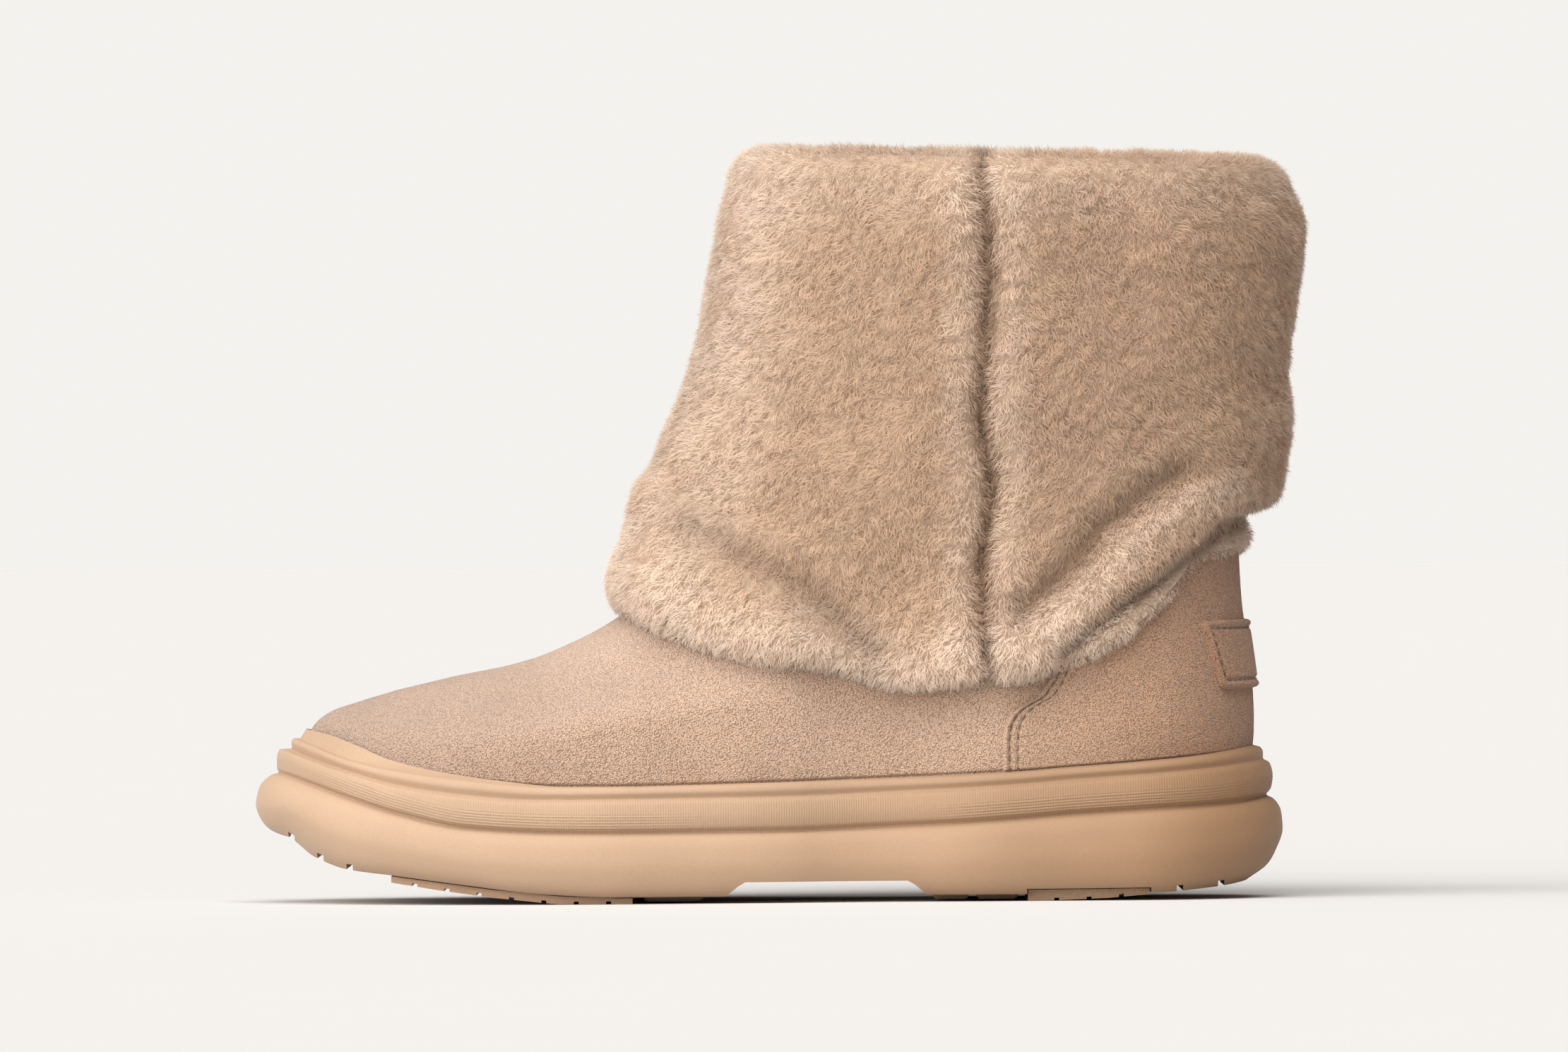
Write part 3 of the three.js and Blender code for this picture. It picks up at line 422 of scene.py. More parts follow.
def path_distance(x, z, path):
    """Distance in the side view from a line of (x, z) shares, for all the points."""
    best = np.full(np.shape(x), 1e9)
    points = [(a * sole_length, b * collar_height) for a, b in path]
    for (ax, az), (bx, bz) in zip(points, points[1:]):
        dx, dz = bx - ax, bz - az
        t = np.clip(((x - ax) * dx + (z - az) * dz) / (dx * dx + dz * dz), 0, 1)
        best = np.minimum(best, np.hypot(x - ax - t * dx, z - az - t * dz))
    return best


def pile_at(row, share, x, z, side):
    to_front = 1 - smoothstep(share, 0, front_reach)
    to_back = smoothstep(share, 1 - back_reach, 1)
    level = cuff["side"](row)
    stand = level + (cuff["front"](row) - level) * to_front + (cuff["back"](row) - level) * to_back
    off_seam = x - sole_length * seam["x"](z / collar_height)
    hollow = seam_groove_depth * np.exp(-((off_seam / seam_groove_width) ** 2))
    for depth, width, path in troughs:
        away = path_distance(x + np.where(side > 0, inner_shift, 0.0), z, path)
        hollow = hollow + depth * np.exp(-((away / width) ** 2))
    return pile_depth * stand - hollow * np.clip(stand, 0, 1)


def cuff_surface(rows, turn, inward):
    """The fur's outer face for rows against turns, drawn in by a distance."""
    rows, turn = rows[:, None], turn[None, :]
    line_at, seam_share = cuff_line(rows)
    drawn = drawn_turn(turn, seam_share)
    share = turn_share(drawn)
    x, z = line_at(share)
    side = turn_side(drawn)
    row, place = place_on_upper(x, z, side)
    pile = pile_at(rows, share, x, z, side)
    swell = 0.7 * noise(np.stack([x, side * 50 * share, z], -1), 21.0, 3)
    instep = np.exp(-(((rows - 4.85) / 0.42) ** 2)) * (1 - smoothstep(share, 0, 0.3))
    pile = pile + swell * smoothstep(rows, 1, 3) + instep_fill * instep
    return upper_offset(row, place, np.maximum(pile - inward, hide_gap))


def collar_ring(row, turn, distance):
    seam_share = cuff_line(np.array([float(cuff_top_row)]))[1]
    return upper_offset(row, drawn_turn(turn, seam_share), distance)


def cuff_stack(turn, inward):
    """Rows of the cuff: outer face from the hem up, over the roll and down the inner leg."""
    outer = cuff_surface(np.linspace(0.25, cuff_top_row, 100), turn, inward)
    inner_pile = -upper_wall - pile_depth * 0.88 + inward
    leg_row = float(highest_row(
        np.array(12.0), lambda row: ring_height(row, 0.5) < collar_height - inner_leg))
    leg = np.stack([collar_ring(r, turn, inner_pile)
                    for r in np.linspace(collar_row, leg_row, 16)])
    middle = (outer[-1] + leg[0]) / 2
    rise = roll_height - roll_rear_drop * turn_share(turn) - inward
    crest = []
    for angle in np.linspace(0, math.pi, 26)[1:-1]:
        ring = middle + (outer[-1] - middle) * math.cos(angle)
        ring[:, 2] += rise * math.sin(angle)
        crest.append(ring)
    return np.concatenate([outer, np.stack(crest), leg]), leg_row


def walked(points, axis=0):
    """How far along a line or grid of points each of them lies."""
    first = np.take(points, [0], axis)
    return np.cumsum(np.linalg.norm(np.diff(points, axis=axis, prepend=first), axis=-1), axis)


# Meshes

def mesh_object(name, points, faces, tones=None, normals=None):
    """A smooth-shaded object from arrays, in metres, riding on the body."""
    faces = np.asarray(faces, np.int32)
    mesh = bpy.data.meshes.new(name)
    mesh.vertices.add(len(points))
    mesh.vertices.foreach_set("co", np.asarray(points, np.float32).ravel())
    mesh.loops.add(faces.size)
    mesh.loops.foreach_set("vertex_index", faces.ravel())
    mesh.polygons.add(len(faces))
    starts = np.arange(len(faces), dtype=np.int32) * faces.shape[1]
    mesh.polygons.foreach_set("loop_start", starts)
    mesh.update(calc_edges=True)
    mesh.validate()
    if tones is not None:
        layer = mesh.color_attributes.new("tone", "FLOAT_COLOR", "POINT")
        layer.data.foreach_set("color", np.asarray(tones, np.float32).ravel())
    mesh.shade_smooth()
    if normals is not None:
        mesh.normals_split_custom_set_from_vertices(normals)
    obj = add_object(name, mesh)
    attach(obj, "root")
    return obj


def grid_faces(rows, columns, wrap_rows=False, wrap_columns=False):
    r = np.arange(rows if wrap_rows else rows - 1)[:, None]
    c = np.arange(columns if wrap_columns else columns - 1)[None, :]
    r1, c1 = (r + 1) % rows, (c + 1) % columns
    quad = [r * columns + c, r * columns + c1, r1 * columns + c1, r1 * columns + c]
    return np.stack([np.broadcast_to(q, np.broadcast_shapes(r.shape, c.shape)) for q in quad],
                    -1).reshape(-1, 4)


def grid_object(name, points, wrap_rows=False, wrap_columns=False):
    faces = grid_faces(*points.shape[:2], wrap_rows, wrap_columns)
    return mesh_object(name, to_metres(points).reshape(-1, 3), faces)


def grid_normals(points, wrap_columns=False):
    if wrap_columns:
        across = np.roll(points, -1, 1) - np.roll(points, 1, 1)
    else:
        across = np.gradient(points, axis=1)
    return unit(np.cross(across, np.gradient(points, axis=0)))


def bake(obj):
    """Applies the modifiers of an object."""
    graph = bpy.context.evaluated_depsgraph_get()
    mesh = bpy.data.meshes.new_from_object(obj.evaluated_get(graph))
    obj.modifiers.clear()
    obj.data = mesh


def prism(outline):
    """A cutter from an outline in the side view, right across the boot."""
    count = len(outline)
    points = [(x, y, z) for y in (-ball_width, ball_width) for x, z in outline]
    faces = [tuple(range(count)), tuple(range(2 * count - 1, count - 1, -1))]
    faces += [((i + 1) % count, i, count + i, count + (i + 1) % count) for i in range(count)]
    mesh = bpy.data.meshes.new("cutter")
    mesh.from_pydata(to_metres(points).tolist(), [], faces)
    return add_object("cutter", mesh)


def combine(obj, others, operation):
    for other in others:
        step = obj.modifiers.new(operation, "BOOLEAN")
        step.operation, step.object, step.solver = operation, other, "EXACT"
    bake(obj)
    for other in others:
        bpy.data.objects.remove(other)


# Materials

white = (1.0, 1.0, 1.0)
shares_per_metre = 3.3
rib_pitch, rib_rows = 0.7, (5.6, 10.0)


class Nodes:
    """The nodes of a material or world, with short ways to add to them."""

    def __init__(self, owner):
        owner.use_nodes = True
        self.nodes, self.links = owner.node_tree.nodes, owner.node_tree.links

    def put(self, socket, value):
        """Sets a socket to a number, or links it from an output."""
        if isinstance(value, (int, float)):
            socket.default_value = value
        else:
            self.links.new(value, socket)

    def place(self, kind="Object"):
        return self.nodes.new("ShaderNodeTexCoord").outputs[kind]

    def split(self, source):
        node = self.nodes.new("ShaderNodeSeparateXYZ")
        self.links.new(source, node.inputs[0])
        return node.outputs

    def noise(self, source, scale, detail=2.0, roughness=0.5):
        node = self.nodes.new("ShaderNodeTexNoise")
        node.inputs["Scale"].default_value = scale
        node.inputs["Detail"].default_value = detail
        node.inputs["Roughness"].default_value = roughness
        self.links.new(source, node.inputs["Vector"])
        return node.outputs["Fac"]

    def ramp(self, source, stops):
        node = self.nodes.new("ShaderNodeValToRGB")
        while len(node.color_ramp.elements) < len(stops):
            node.color_ramp.elements.new(0.5)
        for element, (place, colour) in zip(node.color_ramp.elements, stops):
            element.position = place
            element.color = (*colour, 1)
        self.links.new(source, node.inputs["Fac"])
        return node.outputs["Color"]

    def mix(self, a, b, factor=1.0, kind="MULTIPLY"):
        node = self.nodes.new("ShaderNodeMix")
        node.data_type, node.blend_type = "RGBA", kind
        self.put(node.inputs["Factor"], factor)
        self.links.new(a, node.inputs["A"])
        self.links.new(b, node.inputs["B"])
        return node.outputs["Result"]

    def calc(self, operation, a, b=0):
        node = self.nodes.new("ShaderNodeMath")
        node.operation = operation
        self.put(node.inputs[0], a)
        self.put(node.inputs[1], b)
        return node.outputs[0]

    def painted_shade_along_boot(self, place, base, stops):
        """A colour multiplied by one that changes from toe to heel: a painted shade along the boot.
        """
        share = self.calc("ADD", self.calc("MULTIPLY", self.split(place)[0], shares_per_metre), 0.5)
        return self.mix(base, self.ramp(share, stops))

    def bump(self, height, strength, distance, before=None):
        node = self.nodes.new("ShaderNodeBump")
        node.inputs["Strength"].default_value = strength
        node.inputs["Distance"].default_value = distance
        self.links.new(height, node.inputs["Height"])
        if before is not None:
            self.links.new(before, node.inputs["Normal"])
        return node.outputs["Normal"]

    def dress(self, shader, colour, normal):
        self.links.new(colour, shader.inputs["Base Color"])
        self.links.new(normal, shader.inputs["Normal"])


def new_material(name, roughness, sheen, sheen_roughness, specular):
    made = bpy.data.materials.new(name)
    net = Nodes(made)
    shader = net.nodes["Principled BSDF"]
    shader.inputs["Roughness"].default_value = roughness
    shader.inputs["Sheen Weight"].default_value = sheen
    shader.inputs["Sheen Roughness"].default_value = sheen_roughness
    shader.inputs["Specular IOR Level"].default_value = specular
    return made, net, shader


def suede_material(name, light, dark):
    """Napped suede: pebbled grain, broad patches where the nap lies another way, and a painted
    shade that darkens the toe and darkens and warms the heel.
    """
    made, net, shader = new_material(name, 0.92, 0.35, 0.6, 0.2)
    place = net.place()
    grain = net.noise(place, 2400, 2.0, 0.55)
    pebble = net.nodes.new("ShaderNodeTexVoronoi")
    pebble.inputs["Scale"].default_value = 2150
    net.links.new(place, pebble.inputs["Vector"])
    height = net.calc("SUBTRACT", net.calc("ADD", grain, 0.5), pebble.outputs["Distance"])
    fine = net.ramp(height, [(0.25, dark), (0.6, light)])
    patches = net.noise(place, 32, 4.0, 0.55)
    broad = net.ramp(patches, [(0.3, (0.86, 0.84, 0.82)), (0.7, white)])
    # Painted shade: the colour is darker at the toe and darker and warmer towards the heel.
    colour = net.painted_shade_along_boot(place, net.mix(fine, broad), [
        (0.08, (0.75, 0.73, 0.72)), (0.4, (0.97, 0.97, 0.97)), (0.7, white),
        (0.92, (0.57, 0.435, 0.31))])
    net.dress(shader, colour, net.bump(height, 1.0, 0.0007))
    return made


def foam_material():
    """Moulded foam: a fine grain, upright ribs on the upper tier, and a painted shade that darkens
    and warms it towards the heel.
    """
    made, net, shader = new_material("foam", 0.58, 0.06, 0.5, 0.35)
    place = net.place()
    around = net.split(net.nodes.new("ShaderNodeUVMap").outputs["UV"])
    wave = net.calc("SINE", net.calc("MULTIPLY", around[0], 2 * math.pi / rib_pitch))
    above = net.calc("GREATER_THAN", around[1], rib_rows[0])
    below = net.calc("LESS_THAN", around[1], rib_rows[1])
    ribs = net.calc("MULTIPLY", wave, net.calc("MULTIPLY", above, below))
    grain = net.noise(place, 1900, 3.0, 0.6)
    soft = net.ramp(net.noise(place, 26, 3.0, 0.5),
                    [(0.3, (0.46, 0.307, 0.205)), (0.7, (0.51, 0.345, 0.234))])
    speck = net.ramp(grain, [(0.3, (0.93, 0.92, 0.91)), (0.7, white)])
    # Painted shade: darker and warmer towards the heel.
    colour = net.painted_shade_along_boot(place, net.mix(soft, speck), [
        (0.0, (0.96, 0.97, 0.97)), (0.45, (0.88, 0.87, 0.84)), (0.9, (0.6, 0.51, 0.4))])
    first = net.bump(grain, 0.35, 0.0002)
    net.dress(shader, colour, net.bump(ribs, 0.5, 0.00006, first))
    return made


def rubber_material():
    made, net, shader = new_material("tread_rubber", 0.66, 0.05, 0.5, 0.3)
    grain = net.noise(net.place(), 1400, 3.0, 0.6)
    colour = net.ramp(grain, [(0.3, (0.34, 0.22, 0.14)), (0.7, (0.41, 0.27, 0.175))])
    net.dress(shader, colour, net.bump(grain, 0.5, 0.0002))
    return made


def fur_material():
    """Fibres: their tone is carried by the points, the root darkened as a painted shade and the tip
    light, with painted highlight and painted shade by place.
    """
    made, net, shader = new_material("fur_fibres", 0.85, 0.45, 0.5, 0.1)
    tone = net.nodes.new("ShaderNodeAttribute")
    tone.attribute_name = "tone"
    through = net.nodes.new("ShaderNodeBsdfTranslucent")
    both = net.nodes.new("ShaderNodeMixShader")
    both.inputs[0].default_value = 0.5
    for source, socket in ((tone.outputs["Color"], shader.inputs["Base Color"]),
                           (tone.outputs["Color"], through.inputs["Color"]),
                           (shader.outputs[0], both.inputs[1]),
                           (through.outputs[0], both.inputs[2]),
                           (both.outputs[0], net.nodes["Material Output"].inputs["Surface"])):
        net.links.new(source, socket)
    return made


def fleece_material(name, light, dark):
    """Curled wool close to the hide."""
    made, net, shader = new_material(name, 0.95, 0.3, 0.6, 0.1)
    place = net.place()
    curl, tuft = net.noise(place, 420, 5.0, 0.65), net.noise(place, 130, 3.0, 0.6)
    both = net.calc("ADD", net.calc("MULTIPLY", curl, 0.6), net.calc("MULTIPLY", tuft, 0.4))
    colour = net.ramp(both, [(0.36, dark), (0.62, light)])
    net.dress(shader, colour, net.bump(both, 1.0, 0.0014))
    return made


suede = suede_material("suede", (0.77, 0.515, 0.362), (0.42, 0.258, 0.168))
suede_rear = suede_material("suede_rear", (0.77, 0.5, 0.335), (0.41, 0.245, 0.155))
thread = suede_material("thread", (0.27, 0.165, 0.105), (0.18, 0.107, 0.065))
foam = foam_material()
rubber = rubber_material()
fibres = fur_material()
fleece = fleece_material("fleece", (0.6, 0.45, 0.33), (0.38, 0.26, 0.18))
hide = fleece_material("hide", (0.56, 0.42, 0.31), (0.42, 0.3, 0.215))


# The midsole

def build_midsole():
    columns = 420
    turn = np.arange(columns) / columns
    share = turn_share(turn)
    x_mid = outline_point(turn)[:, 0]
    insets, heights = [], []
    for low, high, between, *shares in wall_table:
        p = inset_points(turn, *(share_in * sidewall_relief for share_in in shares))
        insets.append(np.linalg.norm(p - outline_point(turn), axis=-1))
        heights.append(blend(line_height(low, p[:, 0]), line_height(high, p[:, 0]), between))
    at = np.concatenate([np.linspace(0, 4.6, 18, endpoint=False),
                         np.linspace(4.6, 8.4, 60, endpoint=False), np.linspace(8.4, 13, 24)])
    inset, height = (smooth_column(range(len(wall_table)), v)(at) for v in (insets, heights))
    above_groove = height - line_height("groove", x_mid)[None, :]
    forefoot = smoothstep(share, 0.03, 0.1) * (1 - smoothstep(share, 0.36, 0.5))
    heel_end = smoothstep(share, 0.6, 0.72)
    strong = (forefoot + heel_end)[None, :]
    band = smoothstep(above_groove, -1.2, -0.2) * (1 - smoothstep(above_groove, 4.4, 6.2))
    lines_in = contour_depth * strong * band * np.cos(2 * np.pi * above_groove / contour_pitch)
    wall = inset_points(turn[None, :], *[inset + lines_in] * 3)
    wall = np.concatenate([wall, height[..., None]], -1)
    rows, lip = [wall], line_height("lip", x_mid)
    for level in (lip - 0.4, lip - seat_depth - fit_gap):
        ring = upper_offset(np.zeros(columns), turn, fit_gap)
        ring[:, 2] = level
        rows.append(ring[None])
    points = np.concatenate(rows)
    count = len(points)
    arc = walked(wall[40])
    uv = np.stack(np.broadcast_arrays(arc[None, :], np.append(at, [13.5, 14])[:, None]), -1)
    faces = grid_faces(count, columns, wrap_columns=True).tolist()
    for start, flip in ((0, True), ((count - 1) * columns, False)):
        for i in range(columns // 2):
            rung = [i, i + 1, (columns - i - 1) % columns, (columns - i) % columns]
            rung = list(dict.fromkeys(rung))
            faces.append([start + k for k in (rung[::-1] if flip else rung)])
    mesh = bpy.data.meshes.new("midsole_moulded")
    mesh.from_pydata(to_metres(points).reshape(-1, 3).tolist(), [], faces)
    layer = mesh.uv_layers.new(name="surface")
    index = np.empty(len(mesh.loops), np.int32)
    mesh.loops.foreach_get("vertex_index", index)
    layer.uv.foreach_set("vector", uv.reshape(-1, 2)[index].astype(np.float32).ravel())
    return add_object("midsole_moulded", mesh)


def cut_midsole(obj):
    tread = lambda x: float(line_height("tread", x))
    start, end = (place * sole_length for place in arch_span)
    slope, base = arch_slope * sole_length, tread(start)
    foot = slope * 0.3
    arch = [
        (start - foot, -sole_height), (end + foot, -sole_height), (end + foot, base - fit_gap),
        (end, base + arch_height * 0.12), (end - slope * 0.6, base + arch_height * 0.72),
        (end - slope, base + arch_height), (start + slope, base + arch_height),
        (start + slope * 0.6, base + arch_height * 0.72), (start, base + arch_height * 0.12),
        (start - foot, base - fit_gap),
    ]
    start, end = (place * sole_length for place in pocket_span)
    pocket = [(start - fit_gap, -sole_height), (end + fit_gap, -sole_height)]
    for x in (end + fit_gap, (start + end) / 2, start - fit_gap):
        pocket.append((x, tread(x) + heel_pad_depth))
    cutters = [prism(arch), prism(pocket)]
    for share in notch_places:
        x0, x1 = share * sole_length - notch_width / 2, share * sole_length + notch_width / 2
        top0, top1 = tread(x0) + notch_depth, tread(x1) + notch_depth
        cutters.append(prism([(x0, -sole_height), (x1, -sole_height), (x1, top1), (x0, top0)]))
    combine(obj, cutters, "DIFFERENCE")


def build_blocks():
    """The inner tread blocks that carry on the lower face between the pads."""
    columns = 24
    for number, (start, end) in enumerate(block_spans):
        x = np.linspace(start, end, columns) * sole_length
        half = sole_half(x) - block_inset
        across = np.linspace(-1, 1, 25)
        y = sole_centre(x)[None, :] + half[None, :] * across[:, None]
        xs = np.broadcast_to(x, y.shape)
        rim = np.minimum(1 - np.abs(across)[:, None], 0.12) / 0.12
        ends = np.minimum(np.linspace(0, 1, columns), np.linspace(1, 0, columns))
        ends = np.minimum(ends, 0.08)[None, :] / 0.08
        drop = np.minimum(rim, ends) ** 0.5
        z = blend(line_height("tread", xs) + 0.05, block_lift, drop)
        block = grid_object("tread_block_%d" % number, np.stack([xs, y, z], -1)[::-1])
        block.data.materials.append(rubber)


midsole = build_midsole()
cut_midsole(midsole)
midsole.data.shade_smooth()
midsole.data.set_sharp_from_angle(angle=math.radians(38))
midsole.data.materials.clear()
midsole.data.materials.append(foam)
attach(midsole, "root")
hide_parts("midsole")
build_blocks()
for name in ("outsole_forefoot", "outsole_heel"):
    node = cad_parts[name]
    for place in node.material_slots:
        place.material = rubber


# The upper

def lip_tuck(points):
    """Share by which the suede turns in where it meets the lip."""
    above = points[..., 2] - line_height("lip", points[..., 0])
    return np.exp(-np.clip((above - 0.1) / 0.42, -9, 9) ** 2)


def build_upper():
    turn = np.arange(320) / 320
    rows = np.concatenate([np.linspace(0, 0.6, 4), np.linspace(0.68, 1.6, 20),
                           np.linspace(1.7, 12.2, 84), np.linspace(12.6, collar_row, 8)])
    outer = upper_offset(rows[:, None], turn[None, :], 0.0)
    tuck = lip_tuck(outer)
    inner_rows = np.linspace(collar_row, 0, 22)
    inner = upper_offset(inner_rows[:, None], turn[None, :], -upper_wall)
    relief = 0.16 * noise(outer, 11.0, 5) + 0.1 * noise(outer, 5.0, 6) - 0.8 * tuck
    outer = outer + grid_normals(outer, True) * relief[..., None]
    return grid_object("upper_suede", np.concatenate([outer, inner]), True, True)


def edge_turn(row, side, x_of):
    """The turn at which a ring of the upper crosses a line in the side view."""
    turn = np.full(np.shape(row), 0.3)
    for _ in range(12):
        p = upper_point(row, turn if side < 0 else 1 - turn)
        want = x_of(p[..., 2])
        share = (want - front_x(row)) / (back_x(row) - front_x(row))
        turn = turn_of(np.clip(share, 0, 1), -1)
    return turn


def build_counter():
    rows = np.concatenate([np.linspace(0.7, 1.6, 16), np.linspace(1.7, 12, 104)])
    start = edge_turn(rows, -1, lambda z: sole_length * counter_edge["x"](z / collar_height))
    near = np.concatenate([np.linspace(0, 8, 26), np.linspace(9, 110, 38)]) / 220
    spread = np.concatenate([near, 1 - near[-2::-1]])
    turns_at = start[:, None] + (1 - 2 * start[:, None]) * spread[None, :]
    surface = upper_offset(rows[:, None], turns_at, 0.0)
    far = walked(surface, 1)
    to_edge = np.minimum(far, far[:, -1:] - far)
    t = np.clip(to_edge / 1.3, 0, 1)
    lift = fit_gap + counter_wall * np.sqrt(t * (2 - t))
    lift = lift + 0.5 * np.exp(-(((to_edge - 0.9) / 0.6) ** 2))
    for line, groove, _ in stitch_rows:
        lift = lift - groove * np.exp(-(((to_edge - line) / 0.42) ** 2))
    lift = blend(lift, 0.1, 0.9 * lip_tuck(surface))
    surface = upper_offset(rows[:, None], turns_at, lift)
    relief = 0.14 * noise(surface, 10.0, 8) * np.clip(to_edge / 3, 0, 1)
    surface = surface + grid_normals(surface) * relief[..., None]
    rim = upper_offset(rows[:, None], turns_at[:, [0, -1]], 0.05)
    surface = np.concatenate([rim[:, :1], surface, rim[:, 1:]], 1)
    return grid_object("counter_panel", surface), rows, start


def tab_left(z):
    return np.interp(z, [high * collar_height for high in tab_heights],
                     [place * sole_length for place in tab_front])


def build_tab():
    """The bare heel tab: a stitched patch with softly rounded edges."""
    tall = np.linspace(0, 1, 56)
    z_side = blend(*tab_heights, tall) * collar_height
    side_share = np.full_like(z_side, 0.95)
    rows = highest_row(np.zeros_like(z_side), lambda row: dipped_height(row, side_share) < z_side)
    start = edge_turn(rows, -1, tab_left)
    spread = np.linspace(0, 1, 130)
    turns_at = start[:, None] + (1 - 2 * start[:, None]) * spread[None, :]
    flat = upper_offset(rows[:, None], turns_at, 0.0)
    far, climbed = walked(flat, 1), walked(flat)
    to_side = np.minimum(far, far[:, -1:] - far)
    to_end = np.minimum(climbed, climbed[-1:] - climbed)
    corner = 2.0
    a, b = np.clip(corner - to_side, 0, None), np.clip(corner - to_end, 0, None)
    inside = np.clip(np.minimum(to_side, to_end) - corner, 0, None)
    to_edge = np.clip(corner - np.hypot(a, b), 0, None) + inside
    t = np.clip(to_edge, 0, 1)
    base = 2 * fit_gap + counter_wall
    lift = base - 0.25 + (tab_wall + 0.25) * np.sqrt(t * (2 - t))
    lift = lift + 0.4 * np.exp(-(((to_edge - 1.2) / 0.7) ** 2))
    lift = lift - 0.6 * np.exp(-(((to_edge - tab_stitch_inset) / 0.45) ** 2))
    surface = upper_offset(rows[:, None], turns_at, lift)
    surface = surface + grid_normals(surface) * (0.08 * noise(surface, 6.0, 9))[..., None]
    return grid_object("heel_tab_patch", surface), rows, turns_at


def stitch_object(name, path, normals, length=2.0, pitch=2.9, radius=0.24):
    """Short stitches laid along a line of points, each a small flattened bead of thread."""
    far = walked(path)
    centres = np.arange(pitch / 2, far[-1], pitch)
    take = lambda s, values: np.stack([np.interp(s, far, values[:, k]) for k in range(3)], -1)
    points, faces = [], []
    around = np.linspace(0, 2 * np.pi, 7)[:-1]
    for s in centres:
        n = unit(take(s, normals))
        along = unit(take(min(s + 0.4, far[-1]), path) - take(max(s - 0.4, 0), path))
        side = np.cross(n, along)
        base = len(points)
        for t, size in ((-0.5, 0.35), (-0.32, 1), (0, 1.12), (0.32, 1), (0.5, 0.35)):
            middle = take(s + t * length, path) - n * 0.25 * (2 * t) ** 2
            for angle in around:
                ring = side * math.cos(angle) + n * 0.7 * math.sin(angle)
                points.append(middle + ring * radius * size)
        faces += (grid_faces(5, 6, wrap_columns=True) + base).tolist()
    return mesh_object(name, to_metres(points), faces)


def tab_stitches(rows, turns_at, inset):
    """The closed line of stitches inside the edge of the heel tab."""
    flat = upper_offset(rows[:, None], turns_at, 0.0)
    climbed = walked(flat[:, 0])
    wide, tall = walked(flat, 1)[len(rows) // 2, -1], climbed[-1]
    corner, soft = np.linspace(0, np.pi / 2, 6), 1.6
    left, low = inset + soft, inset + soft
    right, high = wide - inset - soft, tall - inset - soft
    line = []
    for x, y, start in ((right, low, -1), (right, high, 0), (left, high, 1), (left, low, 2)):
        for angle in corner + start * np.pi / 2:
            line.append((x + soft * math.cos(angle), y + soft * math.sin(angle)))
    line = np.array(line + line[:1])
    far = walked(line)
    at = np.linspace(0, far[-1], 260)
    across, up = (np.interp(at, far, line[:, k]) for k in range(2))
    row = np.interp(up, climbed, rows)
    first = np.interp(row, rows, turns_at[:, 0])
    turn = first + (1 - 2 * first) * across / wide
    path, normals = line_on(row, turn, 2 * fit_gap + counter_wall + tab_wall - 0.35)
    return stitch_object("heel_tab_stitches", path, normals)


def line_on(rows, turns, distance):
    path = upper_offset(rows, turns, distance)
    lifted = upper_offset(rows, turns, distance + 1.0)
    return path, unit(lifted - path)


upper = build_upper()
upper.data.materials.append(suede)
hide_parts("upper")
counter, counter_rows, counter_start = build_counter()
counter.data.materials.append(suede_rear)
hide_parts("heel_counter")
tab, tab_rows, tab_turns = build_tab()
tab.data.materials.append(suede_rear)
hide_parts("heel_tab")

stitched = tab_stitches(tab_rows, tab_turns, tab_stitch_inset)
stitched.data.materials.append(thread)
turn_step = 0.004
for label in ("outer", "inner"):
    for number, (line, _, sunk) in enumerate(stitch_rows):
        here = upper_point(counter_rows, counter_start)
        ahead = upper_point(counter_rows, counter_start + turn_step)
        per_turn = np.linalg.norm(ahead - here, axis=-1) / turn_step
        turns_at = counter_start + line / per_turn
        turns_at = turns_at if label == "outer" else 1 - turns_at
        path, normals = line_on(counter_rows, turns_at, fit_gap + counter_wall - sunk)
        made = stitch_object("counter_stitches_%s_%d" % (label, number), path, normals)
        made.data.materials.append(thread)


# The fur

# How deep the roots lie, the fibres of a piece, their size in millimetres and their colours: the
# fur's own, a painted highlight colour and a painted shade at the root.
# From thin_row on, over the roll and down the inner leg, there are fewer of them.
root_depth = 2.8
fur_columns = 230
fibre_count = 80000
fibre_length = 4.2
fibre_half_width = (0.075, 0.13)
tuft_size, tuft_seed = 2.6, 21
thin_row, thin_share = 116, 0.75
fur_colour = np.array([0.765, 0.588, 0.442])
painted_highlight_colour = np.array([0.95, 0.83, 0.72])
painted_root_shade = (0.86, 0.81, 0.76)


def panel_turns(front):
    if front:
        return np.linspace(-seam_turn, seam_turn, fur_columns)
    return np.linspace(seam_turn, 1 - seam_turn, fur_columns)


def build_hide(name, front):
    """The skin under the pile: outer face, roll, inner leg and the side against the upper."""
    turn = panel_turns(front)[::2]
    skin, leg_row = cuff_stack(turn, root_depth)
    skin = skin[::2]
    beside = np.stack([collar_ring(r, turn, -upper_wall - 0.6) for r in (leg_row, collar_row)])
    over = collar_ring(collar_row, turn, hide_gap)[None]
    beside[1][:, 2] = over[..., 2] = collar_height + 0.6
    far_in = 500.0
    back = cuff_surface(np.array([9.0, 7, 5, 3, 1]), turn, far_in)
    return grid_object(name, np.concatenate([skin, beside, over, back]), wrap_rows=True)


